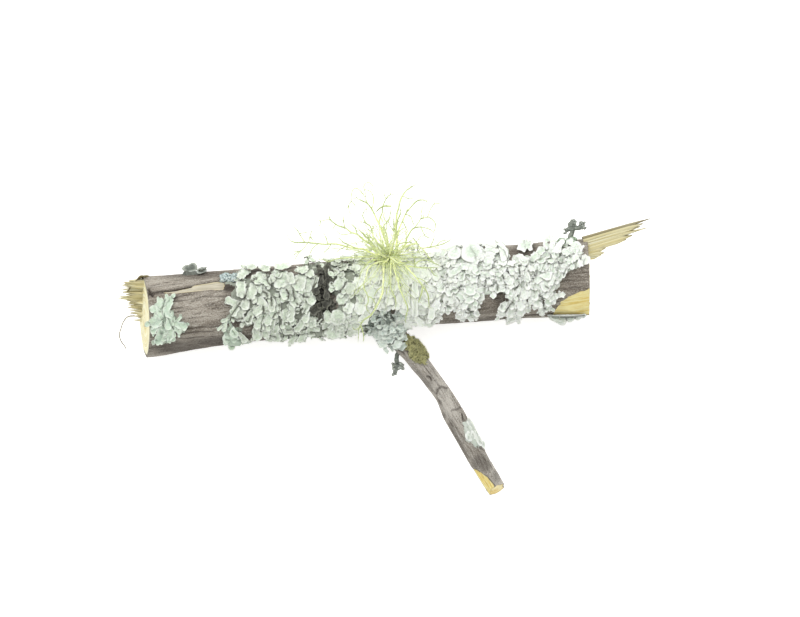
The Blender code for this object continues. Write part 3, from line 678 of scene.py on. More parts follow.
@dataclass
class Limb:
    """A branch: its centreline, its radius and the bark's broad relief.

    `distance` runs along it and `around` is an angle in degrees: 0 on its +Y or right side, 90 on top.
    """

    rows: Array
    measure: Array
    seed: float
    ridge: float = 0.22
    step: float = 0.5
    slices: int = 120

    # How far out, as a share of the radius, a drawn place can lie on the bark.
    FLANK = 0.955

    def __post_init__(self) -> None:
        """Reads centres, directions and bark radius once, at even steps."""
        self.start = float(self.measure[0])
        count = int((self.measure[-1] - self.start) / self.step) + 1
        at = self.start + np.arange(count) * self.step
        self.centre = self._centre(at)
        along = self._centre(at + 1.0) - self._centre(at - 1.0)
        self.along = along / np.linalg.norm(along, axis=1, keepdims=True)
        upward = np.array([0, 0, 1.0]) - self.along * self.along[:, 2:3]
        self.upward = upward / np.linalg.norm(upward, axis=1, keepdims=True)
        self.across = np.cross(self.upward, self.along)
        self.radius = np.interp(at, self.measure, self.rows[:, 3])
        turns = np.radians(np.arange(self.slices) * 360.0 / self.slices)
        self.reach = self.radius[:, None] + np.array([[self._relief(d, a) for a in turns] for d in at])

    def _centre(self, at: Array) -> Array:
        """Centres at distances along the limb."""
        return np.stack([np.interp(at, self.measure, self.rows[:, k]) for k in range(3)], axis=1)

    def _relief(self, distance: float, turn: float) -> float:
        """How far the bark stands out from a round section; none at the worn underside."""
        place = Vector((math.cos(turn), math.sin(turn), 0)) * 1.4 + Vector((self.seed, 0, distance * 0.045))
        ridges = math.sin(7 * turn + 2.2 * noise.noise(place * 0.7)) * self.ridge
        off_floor = min(max((math.sin(turn) + 0.97) / 0.35, 0.0), 1.0)
        return (ridges + 0.55 * noise.noise(place)) * off_floor

    def place(self, distance: Array, around: Array, height: Array | float = 0.0) -> Array:
        """Points above the bark.

        Args:
            distance: millimetres along the limb.
            around: degrees round it.
            height: millimetres above the bark.

        Returns:
            X, Y and Z in the last axis.
        """
        distance, around, height = np.broadcast_arrays(distance, around, height)
        index = np.clip((distance - self.start) / self.step, 0, len(self.centre) - 1.001)
        low = index.astype(int)
        part = (index - low)[..., None]
        column = (around / 360.0 * self.slices) % self.slices
        left = column.astype(int) % self.slices
        right = (left + 1) % self.slices
        turn_part = column - np.floor(column)
        near = self.reach[low, left] * (1 - turn_part) + self.reach[low, right] * turn_part
        far = self.reach[low + 1, left] * (1 - turn_part) + self.reach[low + 1, right] * turn_part
        reach = near * (1 - part[..., 0]) + far * part[..., 0]
        centre, across, upward = (
            rows[low] * (1 - part) + rows[low + 1] * part for rows in (self.centre, self.across, self.upward)
        )
        turn = np.radians(around)[..., None]
        return centre + (across * np.cos(turn) + upward * np.sin(turn)) * (reach + height)[..., None]

    def girth(self, distance: Array) -> Array:
        """Mean radius at distances along the limb."""
        at = self.start + np.arange(len(self.radius)) * self.step
        return np.interp(distance, at, self.radius)

    def lay(self, unrolled: Array, height: Array | float) -> Array:
        """Points above the bark, from its unrolled surface.

        Args:
            unrolled: distance along, and millimetres round from the top line.
            height: millimetres above the bark.

        Returns:
            X, Y and Z in the last axis.
        """
        around = 90.0 + np.degrees(unrolled[..., 1] / self.girth(unrolled[..., 0]))
        return self.place(unrolled[..., 0], around, height)

    def under(self, spot: Spot) -> tuple[float, float, float]:
        """Finds what lies under a place on the drawing.

        Args:
            spot: pixels across and down.

        Returns:
            Distance along, millimetres round from the top line, and the height above the bark
            for a place past the limb's outline.
        """
        x, y = from_drawing(spot)
        gap = np.hypot(self.centre[:, 0] - x, self.centre[:, 1] - y)
        at = int(np.argmin(gap))
        offset = (x - self.centre[at, 0]) * self.across[at, 0] + (y - self.centre[at, 1]) * self.across[at, 1]
        radius = self.radius[at]
        share = max(-self.FLANK, min(self.FLANK, offset / radius))
        turn = math.acos(share) - math.pi / 2
        height = max(0.0, abs(offset) / self.FLANK - radius) if abs(share) >= 0.95 else 0.0
        return self.start + at * self.step, turn * radius, height

    def roof(self, places: Array, above: float = 0.0) -> Array:
        """How high the limb's upper side lies under places.

        Args:
            places: X and Y in the last axis.
            above: millimetres added all round the limb.

        Returns:
            Z at each place, and 0 beside the limb.
        """
        gap = np.linalg.norm(places[..., None, :] - self.centre[::4, :2], axis=-1)
        at = np.argmin(gap, axis=-1)
        offset = np.take_along_axis(gap, at[..., None], axis=-1)[..., 0]
        radius = self.radius[::4][at] + above
        return self.centre[::4, 2][at] * (offset < radius) + np.sqrt(np.clip(radius**2 - offset**2, 0, None))


def twig_limb() -> Limb:
    """The main twig: X, Y and radius at seven places; it lies on its worn underside."""
    line = np.array(
        spots_in(
            """-100,6.2,13.9 -82.6,7.8,13.8 -56.4,10.9,13 -28.4,13.8,12.4 5.8,16.8,12.3 33.7,19.1,12.9
            50.1,20.4,12.5 71.4,21.6,13.4 86,22.6,13.5"""
        )
    )
    smooth = smooth_rows(line)
    rows = np.column_stack([smooth[:, 0], smooth[:, 1], smooth[:, 2] - FLAT_DEPTH, smooth[:, 2]])
    return Limb(rows, rows[:, 0], seed=0.0)


def side_limb() -> Limb:
    """The side branch: X, Y, Z and radius from inside the twig down to its broken tip."""
    line = np.array(
        spots_in(
            """-1.8,16,15,7 1.6,6.2,13.4,5.2 5.1,.2,11.9,3.7 9.8,-4.6,10.5,3.4 13.4,-9.5,9.3,3.15
            17.2,-14.6,8.2,3.05 21.2,-20.3,7.1,3.05 24.4,-26.4,6.2,3.65 29.3,-35.2,5,3.45
            33.7,-42.6,4.1,3.5 38.9,-51.7,3,3.25 42.5,-57.8,2.7,3.1"""
        )
    )
    rows = smooth_rows(line)
    steps = np.linalg.norm(np.diff(rows[:, :3], axis=0), axis=1)
    return Limb(rows, np.concatenate([[0], np.cumsum(steps)]), seed=9.0, slices=72)


# ---------------------------------------------------------------- bark and bare wood


@dataclass(frozen=True)
class Stroke:
    """A crack, scar or ridge drawn along a line on the bark."""

    line: Line
    half_width: float
    depth: float
    dark: float = 0.9


@dataclass(frozen=True)
class StainOrShade:
    """A dark patch on the bark, a stain on some, painted shade on others: its middle, given as a line of one
    place, and half sizes in pixels.
    """

    line: Line
    half_across: float
    half_down: float
    dark: float


def distance_to_line(points: Array, line: Array) -> Array:
    """How far points lie from an open line, in X and Y."""
    nearest = np.full(points.shape[:-1], 1e9)
    for a, b in zip(line, line[1:]):
        along = b - a
        share = np.clip(((points - a) @ along) / (along @ along), 0, 1)
        nearest = np.minimum(nearest, np.linalg.norm(points - a - share[..., None] * along, axis=-1))
    return nearest


@dataclass(frozen=True)
class Plane:
    """A cut: a point on it and the direction that faces away from the wood."""

    point: Place
    outward: Place

    def facing(self) -> Array:
        """The outward direction, one unit long."""
        return np.array(self.outward) / np.linalg.norm(self.outward)

    def beyond(self, places: Array) -> Array:
        """How far places lie beyond the cut."""
        return (places - np.array(self.point)) @ self.facing()

    def press(self, places: Array) -> Array:
        """Moves places that lie beyond the cut back onto it."""
        return places - np.maximum(self.beyond(places), 0.0)[..., None] * self.facing()


@dataclass
class BarkSkin:
    """The bark of one limb, from its start to its cut end, as one fine tube."""

    limb: Limb
    rows: int
    columns: int
    seed: int
    start: Plane | float
    end: Plane
    bark_depth: float = 0.9
    roughness: float = 1.0
    strokes: tuple[Stroke, ...] = ()
    stains_and_shade: tuple[StainOrShade, ...] = ()
    bare: tuple[tuple[Line, float, float], ...] = ()
    facets: tuple[Plane, ...] = ()
    facet_length: float = 20.0

    def _crossing(self, cut: Plane, around: Array, low: float, high: float) -> Array:
        """Where along the limb each column of bark meets a cut."""
        at = np.linspace(low, high, 160)
        beyond = cut.beyond(self.limb.place(at[:, None], around[None, :]))
        outside = beyond > 0
        first = (~outside if outside[0].all() else outside).argmax(axis=0)
        last = np.maximum(first - 1, 0)
        column = np.arange(len(around))
        a, b = beyond[last, column], beyond[first, column]
        return at[last] + (at[first] - at[last]) * np.clip(a / (a - b + 1e-9), 0, 1)

    def relief(self, distance: Array, around: Array) -> tuple[Array, Array, Array, Array]:
        """The bark's fine shape.

        Args:
            distance: millimetres along the limb.
            around: degrees round it, from -90 to 270.

        Returns:
            Height, darkness, bareness and share of cream wood at each point.
        """
        run = np.radians(around - 90.0) * self.limb.girth(distance)
        broad = flat_bumps(distance * 0.05, run * 0.45, self.seed)
        middle = flat_bumps(distance * 0.15, run * 1.25, self.seed + 1)
        fine = flat_bumps(distance * 0.45, run * 2.6, self.seed + 2)
        height = 0.16 * broad + 0.13 * (1 - 2 * np.abs(middle)) + 0.07 * fine
        fissure = 1 - np.abs(flat_bumps(distance * 0.032, run * 0.42, self.seed + 3))
        fissure = smoothstep(0.93, 1.0, fissure) * smoothstep(-0.3, 0.3, broad)
        height = (height - 0.32 * fissure) * self.roughness
        dark = 0.75 * fissure + 0.25 * smoothstep(0.35, 0.8, np.abs(middle))
        flat = self.limb.place(distance, around)[..., :2]
        upper = smoothstep(-0.35, -0.05, np.sin(np.radians(around)))
        bare, cream = np.zeros_like(height), np.zeros_like(height)
        for outline, depth, pale in self.bare:
            gap = distance_to_outline(flat, on_drawing(outline)) + 0.12 * fine
            share = (1 - smoothstep(-0.12, 0.22, gap)) * upper
            height = height - depth * share
            bare, cream = np.maximum(bare, share), np.maximum(cream, share * pale)
            dark = dark * (1 - share)
            dark = np.maximum(dark, 0.7 * (1 - smoothstep(0.15, 0.55, gap)) * (1 - share) * upper)
        for stroke in self.strokes:
            gap = distance_to_line(flat, on_drawing(stroke.line)) / stroke.half_width
            share = (1 - smoothstep(0.2, 1.0, gap)) * upper
            height = height - stroke.depth * share
            dark = np.maximum(dark, stroke.dark * share)
        # Dark patches: stains, and painted shade along the twig's lower and upper edges.
        for stain_or_shade in self.stains_and_shade:
            middle_x, middle_y = from_drawing(stain_or_shade.line[0])
            across = (flat[..., 0] - middle_x) / (stain_or_shade.half_across * MM_PER_PIXEL)
            down = (flat[..., 1] - middle_y) / (stain_or_shade.half_down * MM_PER_PIXEL)
            share = 1 - smoothstep(0.35, 1.15, np.hypot(across, down))
            dark = np.maximum(dark, stain_or_shade.dark * share * upper)
        return height, dark, bare, cream

    def add_to(self, shape: Shape) -> tuple[Array, Array]:
        """Adds the bark.

        Args:
            shape: takes the mesh.

        Returns:
            The rims of bare wood just inside the bark at the start and at the end.
        """
        around = -90.0 + 360.0 * np.arange(self.columns) / self.columns
        last = self._crossing(self.end, around, self.limb.measure[-1] - 40.0, float(self.limb.measure[-1]))
        if isinstance(self.start, Plane):
            first = self._crossing(self.start, around, self.limb.start, self.limb.start + 40.0)
        else:
            first = np.full(self.columns, self.start)
        share = np.linspace(0, 1, self.rows)
        share = (share - 0.06 * np.sin(2 * math.pi * share) / math.pi)[:, None]
        distance = first + (last - first) * share
        turns = np.broadcast_to(around, distance.shape)
        height, dark, bare, cream = self.relief(distance, turns)
        inner_first = self.limb.place(first, around, -self.bark_depth)
        inner_last = self.limb.place(last, around, -self.bark_depth)
        places = self.limb.place(distance, turns, height)
        for facet in self.facets:
            near = distance > last - self.facet_length
            pressed = facet.press(places)
            bare = np.where(near, np.maximum(bare, smoothstep(0.05, 0.3, facet.beyond(places))), bare)
            places = np.where(near[..., None], pressed, places)
            inner_last = facet.press(inner_last)
        stack = np.concatenate([inner_first[None], places, inner_last[None]])
        stack[..., 2] = np.maximum(stack[..., 2], 0.0)
        pad = ((1, 1), (0, 0))
        run = np.radians(turns - 90.0) * self.limb.girth(distance)
        grain = np.stack([distance, run, height], axis=-1)
        grain = np.concatenate([grain[:1], grain, grain[-1:]])
        shape.add(
            stack,
            grid_faces(self.rows + 2, self.columns, wrapped=True),
            grain,
            deep=np.pad(np.clip(dark, 0, 1), pad, constant_values=0.5),
            bare=np.pad(bare, pad, mode="edge"),
            tint=np.pad(cream, pad, mode="edge"),
        )
        return stack[0], stack[-1]


def end_face(shape: Shape, rim: Array, outward: Array, rough: float, seed: int, rings: int = 18) -> None:
    """Closes a limb with a face of bare wood that shows its growth rings.

    Args:
        shape: takes the mesh.
        rim: the points round the face.
        outward: the direction that it faces.
        rough: how far fibres stand out of it or break off below it.
        seed: picks the pattern.
        rings: how many rings of points it has.
    """
    middle = rim.mean(axis=0)
    share = np.linspace(0, 0.97, rings)[:, None, None]
    places = rim * (1 - share) + middle * share
    spoke = places - middle
    radius = np.linalg.norm(spoke, axis=-1)
    broken = bumps(places * 0.7, seed) * rough + bumps(places * 2.4, seed + 1) * rough * 0.5
    inside = smoothstep(0.0, 0.12, np.broadcast_to(share[..., 0], radius.shape))
    growth = 0.05 * np.sin(radius * 4.2 + 1.5 * bumps(places * 0.3, seed + 2))
    places = places + outward * ((broken - rough * 0.4 + growth) * inside + 0.05)[..., None]
    places[..., 2] = np.maximum(places[..., 2], 0.0)
    turn = np.arctan2(spoke[..., 2], spoke[..., 1])
    grain = np.stack([6 * np.cos(turn), np.zeros_like(turn), radius * 1.1 + 20 * seed], axis=-1)
    edge_dark = 0.45 * (1 - smoothstep(0.0, 0.07, np.broadcast_to(share[..., 0], radius.shape)))
    columns = len(rim)
    points = np.concatenate([places.reshape(-1, 3), middle[None] + outward * 0.05])
    quads = grid_faces(rings, columns, wrapped=True)[:, ::-1]
    last = (rings - 1) * columns + np.arange(columns)
    fan = np.stack([last, np.roll(last, -1), np.full(columns, rings * columns)], axis=-1)
    grains = np.concatenate([grain.reshape(-1, 3), grain[-1, :1]])
    deep = np.append(edge_dark.reshape(-1), 0.3)
    shape.add(points, quads, grains, deep=deep)
    shape.faces.append(fan + shape.count - len(points))


def plank(
    shape: Shape,
    path: Array,
    widths: Array,
    heights: Array,
    turn: float,
    tint: float,
    deep: Array | float = 0.0,
) -> None:
    """A sliver of wood along a path, thin at its tip.

    Args:
        shape: takes the mesh.
        path: points along its middle.
        widths: full width across at each point.
        heights: full height at each point.
        turn: radians that it is rolled about its length.
        tint: which shade it has.
        deep: how dark it is.
    """
    along = np.gradient(path, axis=0)
    along /= np.linalg.norm(along, axis=1, keepdims=True)
    side = np.cross(np.array([0.0, 0.0, 1.0]), along)
    side /= np.linalg.norm(side, axis=1, keepdims=True)
    upward = np.cross(along, side)
    side, upward = (
        side * math.cos(turn) + upward * math.sin(turn),
        upward * math.cos(turn) - side * math.sin(turn),
    )
    corners = np.array(spots_in("-1,-.6 -.4,-1 .5,-1 1,-.5 1,.6 .4,1 -.5,1 -1,.5")) / 2
    ring = (
        path[:, None]
        + side[:, None] * (corners[:, 0] * widths[:, None])[..., None]
        + upward[:, None] * (corners[:, 1] * heights[:, None])[..., None]
    )
    rows, sides = len(path), len(corners)
    run = np.concatenate([[0], np.cumsum(np.linalg.norm(np.diff(path, axis=0), axis=1))])
    grain = np.stack(
        [
            np.broadcast_to(run[:, None], (rows, sides)),
            np.broadcast_to(corners[:, 0] * 2 + tint * 40, (rows, sides)),
            np.broadcast_to(corners[:, 1] * 2 + path[0, 1], (rows, sides)),
        ],
        axis=-1,
    )
    ring[..., 2] = np.maximum(ring[..., 2], 0.0)
    shape.add(
        ring,
        grid_faces(rows, sides, wrapped=True)[:, ::-1],
        grain,
        tint=tint,
        deep=np.repeat(np.broadcast_to(deep, rows), sides),
    )
    shape.cap(rows, sides, first_turned=False)


# Each stroke: its line | half width, depth and darkness. Each stain or patch of painted shade: its middle |
# half sizes and darkness.
TWIG_STROKES = """
150,293.5 153,292.6 160,291.6 172,290.4 182,288.6 192,286 | .55 .8
150,290 154,296 | .7 .6
190,290.6 206,289.6 224,288.6 | .35 .3 .6
183,333.5 196,332 214,331.4 | .35 .25 .7
188,329 205,327.2 222,326.4 | .3 .2 .6
170,337 186,338.5 204,336 | .3 .2 .6
196,297.5 212,296.2 228,296.6 | .25 .15 .5
486,317 512,316 540,314.6 560,316.6 | .35 .25 .7
556,291 572,287.6 587,288 | .3 .2 .6
"""
# The last four patches, long and thin along the lower and upper edges, are painted shade; the rest are
# stains.
TWIG_STAINS_AND_SHADE = """
230,288 | 10 6 .85
232,299 | 9 6 .45
236,323 | 10 6 .5
255,338 | 14 5 .55
500,297 | 12 9 .45
572,280 | 12 16 .2
524,252 | 22 9 .45
230,341 | 60 8 .68
180,347 | 42 9 .62
510,321 | 80 6 .55
190,274 | 56 6 .5
"""


@dataclass
class MainTwig:
    """The main twig: its bark, sawn end, torn end, long splinter and torn fibres."""

    limb: Limb
    rows: int = 400
    columns: int = 190
    splinter_middle_z: float = 13.6
    splinter_root_x: float = 71.6
    splinter_tip_x: float = 93.0
    splinter_half: Spot = (4.4, 0.7)
    fibre_count: int = 85
    fibre_root_x: float = -78.0
    far_rim_heights: Spot = (15.5, 9.6)
    hair_heights: Spot = (9.0, 1.2)

    # Slivers of the splinter: root and tip on the drawing, width in millimetres.
    SLIVERS = spots_in(
        """586.5,237.2,649.8,218.9,1 587,239.4,642.8,223.8,1.5 587.5,241.8,640,226.6,1.4 588,244,647,227.9,.9
        588,246.2,633,232,1.5 588,248.6,632.2,235.4,1.7 588,250.4,626,239.2,1.4 588,251.2,613,242.4,1.3
        588,252.5,605.6,247.8,1.5 588,254.5,603.9,252.6,1.3 588,256.3,601,255,1.4 588,258,597,257.3,1.1"""
    )
    # Tips of the torn fibres beyond the sawn end, and their widths in millimetres.
    FIBRES = spots_in(
        """128.6,280.6,1.2 123,282.5,.9 121.5,285,1 124,287,.9 119.9,289.8,.7 122,292.4,1 125,294.6,1
        119,296.6,.8 114.6,297.9,.5 126,300.2,1.1 127.4,302.8,1 124.5,305.1,.6 127,307.4,1 128.4,310,.9
        129,313.2,.7 131.5,316,1.1 133,320,1"""
    )
    # Height over the floor at places across the sawn face.
    FIBRE_DEPTHS = spots_in("4,4.2 9.2,5.4 12.2,6.8 15,8.8 18,11.6 21.5,14.2")
    FAR_RIM = spots_in("150,277.6 144,276.4 138.4,279.2 132.4,284.6 128.6,289.4")
    HAIR = spots_in(
        "134,315.9 127.6,316.6 123,321.2 120.5,327.3 118.4,335 119.9,341.1 123.6,346.5 124.5,348.8"
    )
    STRIP = spots_in(
        """163,292.9 180,289.6 192,286.6 204,284.2 216,282.4 223.4,282.2 225.2,285.4 223.8,289.4 213,289.7
        202,290.2 190,291.4 176,293.6"""
    )
    TRIANGLE = spots_in(
        "552.6,315.4 557.3,306.6 565.9,300.4 576.8,296.4 588.6,288.4 591,300 591,313.6 572,315.2"
    )

    def _bark(self, shape: Shape) -> None:
        """Adds the bark, its two end faces and what is painted and cut in it."""
        sawn = np.array((-math.cos(SAWN_TILT), -0.05, math.sin(SAWN_TILT)))
        torn = np.array((1.0, 0.03, -0.01))
        near, far = (self.limb.centre[int((x - self.limb.start) / self.limb.step)] for x in (SAWN_X, TORN_X))
        skin = BarkSkin(
            self.limb,
            self.rows,
            self.columns,
            seed=11,
            start=Plane((SAWN_X, near[1], near[2]), tuple(sawn)),
            end=Plane((TORN_X, far[1], far[2]), tuple(torn)),
            strokes=parts_in(Stroke, TWIG_STROKES),
            stains_and_shade=parts_in(StainOrShade, TWIG_STAINS_AND_SHADE),
            bare=((self.STRIP, 0.35, 1.0), (self.TRIANGLE, 0.25, 0.0)),
            facets=(Plane((71.4, 13.2, 20.9), (0.14, -0.72, 0.68)),),
        )
        self.rims = skin.add_to(shape)
        self.facings = (sawn, torn / np.linalg.norm(torn))

    def _splinter(self, shape: Shape) -> None:
        """Adds the long splinter as slivers that end in steps."""
        rng = np.random.default_rng(5)
        for number, sliver in enumerate(self.SLIVERS):
            start, end = on_drawing((sliver[:2], sliver[2:4]))
            width = sliver[4]
            start = start - (end - start) / np.linalg.norm(end - start) * 1.5
            for layer in (-1, 0, 1):
                reach = 1.0 if layer == 0 else rng.uniform(0.86, 0.99)
                share = np.linspace(0, 1, 14)
                flat = start + (end - start) * (share * reach)[:, None]
                out = (flat[:, 0] - self.splinter_root_x) / (self.splinter_tip_x - self.splinter_root_x)
                out = np.clip(out, 0, 1)
                half = self.splinter_half[0] + (self.splinter_half[1] - self.splinter_half[0]) * out**0.8
                wave = flat_bumps(share * 3, np.full_like(share, number + layer * 7.0), 3)
                height = self.splinter_middle_z + layer * half * 0.62
                path = np.column_stack([flat[:, 0], flat[:, 1] + wave * 0.12, height])
                taper = np.clip((1 - share) / 0.22, 0.16, 1) ** 0.7
                bark_like = 0.75 if number == 0 else 0.2
                tip_dark = bark_like + 0.35 * smoothstep(0.9, 1.0, share)
                heights = half * 0.86 * taper**0.5
                turn, tint = rng.uniform(-0.1, 0.1), rng.uniform()
                plank(shape, path, width * taper, heights, turn, tint, tip_dark)

    def _fibres(self, shape: Shape) -> None:
        """Adds the torn fibres beyond the sawn end, and the bark's rim behind them."""
        rng = np.random.default_rng(8)
        depths = np.array(self.FIBRE_DEPTHS)
        tips = on_drawing(self.FIBRES)
        order = np.argsort(tips[:, 1])
        for number in range(self.fibre_count):
            drawn = number < len(self.FIBRES)
            y = tips[number, 1] if drawn else rng.uniform(tips[order[0], 1], tips[order[-1], 1])
            far = float(np.interp(y, tips[order, 1], tips[order, 0]))
            middle_z = float(np.interp(y, depths[:, 0], depths[:, 1]))
            end_x = tips[number, 0] if drawn else far + rng.uniform(0.3, 4.2)
            width = self.FIBRES[number][2] if drawn else rng.uniform(0.35, 1.1)
            layer = 0.0 if drawn else rng.uniform(-1.0, 1.0)
            share = np.linspace(0, 1, 10)
            sway = rng.uniform(-0.6, 0.6, 2)
            wave = 0.12 * flat_bumps(share * 4, np.full(10, number * 1.7), 4)
            path = np.column_stack(
                [
                    self.fibre_root_x + (end_x - self.fibre_root_x) * share,
                    y + sway[0] * (1 - share) + wave,
                    middle_z + layer * 3.0 + sway[1] * share,
                ]
            )
            taper = np.clip((1 - share) / rng.uniform(0.15, 0.5), 0.12, 1) ** 0.8
            shade = 0.04 + 0.26 * rng.uniform() + 0.26 * smoothstep(0.7, 1.0, share)
            heights = rng.uniform(1.0, 2.6) * taper
            turn, tint = rng.uniform(-0.5, 0.5), rng.uniform(0.3, 1.0)
            plank(shape, path, width * 1.1 * taper, heights, turn, tint, shade)
        rim = on_drawing(self.FAR_RIM)
        path = curve_through(np.column_stack([rim, np.linspace(*self.far_rim_heights, len(rim))]), 14)
        plank(shape, path, np.full(14, 0.6), np.linspace(7.0, 3.2, 14), 0.0, 1.0, 0.9)

    def _hair(self, shape: Shape) -> None:
        """Adds the loose bark hair that hangs from the torn fibres."""
        flat = on_drawing(self.HAIR)
        path = curve_through(np.column_stack([flat, np.linspace(*self.hair_heights, len(flat))]), 60)
        tube(shape, path, np.linspace(0.2, 0.15, 60), 6, 0.8, deep=1.0)

    def build(self) -> None:
        """Builds the twig's two pieces."""
        bark = Shape()
        self._bark(bark)
        finish = BarkFinish("purple_grey_bark", *colours("166,158,147 127,118,107 76,70,62 203,198,188"))
        hand_over(bark, "twig_bark", finish, Slot.BARK, "main_branch")
        wood = Shape()
        end_face(wood, self.rims[0], self.facings[0], 0.08, 1, rings=22)
        end_face(wood, self.rims[1][::-1], self.facings[1], 0.5, 2, rings=22)
        self._splinter(wood)
        self._fibres(wood)
        self._hair(wood)
        pale = WoodFinish("split_wood", *colours("240,238,212 224,212,160 168,154,110"))
        hand_over(wood, "twig_wood", pale, Slot.BARK, "main_branch")


SIDE_STROKES = """
436.6,393.6 438,389.4 441.6,386.8 446.4,388.4 | .75 .22 .62
440,388.6 446,389.6 | .9 -.15 .25
452.4,410.4 457.4,409.4 462,406.6 | .7 .2 .5
427,376.3 430,377.4 431.5,380.5 | .6 .25 .7
424,366 433,378 441,388 | .35 .15 .45
399,340 404,347 411,357 | .5 .3 .7
414,368 424,379 433,391 | .6 .1 .4
450,424 458,440 468,458 | .9 .1 .45
462,414 464,424 466,433 | .4 .25
452,420 458,432 464,444 | .25 .15 .5
447,412 452,424 459,440 | .25 .15 .5
478,447 486,452 492,462 | .3 .2 .6
"""
SIDE_STAINS = """
468.4,428.4 | 2.4 2.2 .9
480,462 | 10 10 .5
497,476 | 6 8 .4
443.7,417 | 3 6 .5
396,347 | 5 6 .5
428,384 | 7 5 .35
484,466 | 10 8 .45
"""


@dataclass
class SideBranch:
    """The side branch: ridged grey bark with scars, and its broken tip."""

    limb: Limb
    rows: int = 330
    columns: int = 84

    SPLIT = spots_in("472.4,468.8 479.9,472.7 486.8,477.3 494.4,486 496,497 490,494 483,486 474,475")

    def build(self) -> None:
        """Builds the branch's two pieces."""
        end = Plane((39.5, -52.8, 3.0), (0.45, -0.78, 0.34))
        bark = Shape()
        skin = BarkSkin(
            self.limb,
            self.rows,
            self.columns,
            seed=31,
            start=6.0,
            end=end,
            bark_depth=0.4,
            roughness=0.8,
            strokes=parts_in(Stroke, SIDE_STROKES),
            stains_and_shade=parts_in(StainOrShade, SIDE_STAINS),
            bare=((self.SPLIT, 0.3, 0.0),),
            facets=(Plane((37.8, -53.7, 4.2), (-0.675, -0.629, 0.423)),),
        )
        rims = skin.add_to(bark)
        finish = BarkFinish("grey_bark", *colours("186,180,172 146,139,130 92,84,76 212,208,200"))
        hand_over(bark, "side_branch_bark", finish, Slot.SIDE_BARK, "side_branch")
        wood = Shape()
        end_face(wood, rims[1][::-1], end.facing(), 0.18, 4, rings=12)
        pale = WoodFinish("tip_wood", *colours("245,233,186 232,206,136 196,158,96"))
        hand_over(wood, "side_branch_wood", pale, Slot.SIDE_BARK, "side_branch")


# ---------------------------------------------------------------- leafy lichens


@dataclass(frozen=True)
class Lobe:
    """One lobe: its middle line on the drawing and how it stands off the bark.

    `lift` is its height over the bark, `rise` how much higher its tip is, `cup` how far its
    margins curl up, `buds` how many small lobes grow from its margins.
    """

    line: Line
    width: float
    lift: float = 1.7
    rise: float = 0.5
    cup: float = 0.5
    buds: float = 3
    tone: float = 0.5


@dataclass(frozen=True)
class Crease:
    """A groove between lobes, drawn as a line, with painted shade in it; one point makes a pit."""

    line: Line
    half_width: float = 0.4
    dark: float = 0.95
    sink: float = 0.7


@dataclass(frozen=True)
class Leaf:
    """A lobe that stands out level from the limb's side: its outline on the drawing.

    `level` is its height over the limb's middle line, `lift` how far it clears the bark where
    it lies on it, and `dome` how much its middle is raised.
    """

    outline: Line
    level: float = 1.0
    lift: float = 1.2
    dome: float = 0.5
    tone: float = 0.4


@dataclass(frozen=True)
class Gap:
    """A place where no lichen grows: its middle, half sizes in pixels and lean in degrees."""

    line: Line
    half_across: float
    half_down: float
    lean: float = 0.0

    def share(self, flat: Array) -> Array:
        """0 at the middle of the gap, 1 at its edge, for places in millimetres."""
        x, y = from_drawing(self.line[0])
        turn = math.radians(self.lean)
        across, up = flat[..., 0] - x, flat[..., 1] - y
        along = across * math.cos(turn) + up * math.sin(turn)
        aside = up * math.cos(turn) - across * math.sin(turn)
        return np.hypot(along / self.half_across, aside / self.half_down) / MM_PER_PIXEL


KINDS = {"lobes": Lobe, "leaves": Leaf, "creases": Crease, "gaps": Gap}


def read_lichen(text: str) -> dict[str, tuple]:
    """Reads all the drawn parts of one lichen.

    Args:
        text: tables as `parts_in` reads them, each under one of the headings in KINDS.

    Returns:
        The parts under each heading.
    """
    tables: dict[str, list[str]] = {heading: [] for heading in KINDS}
    heading = ""
    for row in rows_in(text):
        if row in KINDS:
            heading = row
        else:
            tables[heading].append(row)
    return {name: parts_in(KINDS[name], "\n".join(found)) for name, found in tables.items()}


@dataclass
class Cover:
    """How high a packed lichen stands over the bark, felt from outside."""

    limb: Limb
    node: str
    reach: float = 14.0
    along_step: float = 0.8
    turn_step: float = 3.0

    def __post_init__(self) -> None:
        """Casts a ray at the limb from every side and keeps the heights."""
        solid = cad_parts[self.node].data
        tree = BVHTree.FromPolygons([v.co for v in solid.vertices], [p.vertices for p in solid.polygons])
        low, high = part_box(self.node)
        corners = np.array([[low.x, low.y], [high.x, low.y], [low.x, high.y], [high.x, high.y]]) / MM
        gaps = [np.hypot(*(self.limb.centre[:, :2] - corner).T) for corner in corners]
        ends = [self.limb.start + int(np.argmin(gap)) * self.limb.step for gap in gaps]
        self.at = np.arange(min(ends) - 6.0, max(ends) + 6.0, self.along_step)
        self.turns = np.arange(-90.0, 270.0, self.turn_step)
        bark = self.limb.place(self.at[:, None], self.turns[None, :])
        far = self.limb.place(self.at[:, None], self.turns[None, :], self.reach)
        self.height = np.zeros(bark.shape[:2])
        for i, j in np.ndindex(self.height.shape):
            start, end = Vector(far[i, j]) * MM, Vector(bark[i, j]) * MM
            hit = tree.ray_cast(start, end - start, self.reach * MM)
            if hit[0] is not None:
                self.height[i, j] = self.reach - hit[3] / MM

    def over(self, distance: Array, around: Array) -> Array:
        """The height at places on the limb, 0 where the lichen isn't."""
        row = np.clip(np.round((distance - self.at[0]) / self.along_step).astype(int), 0, len(self.at) - 1)
        column = np.round((around - self.turns[0]) / self.turn_step).astype(int) % len(self.turns)
        inside = (distance >= self.at[0]) & (distance <= self.at[-1])
        return np.where(inside, self.height[row, column], 0.0)


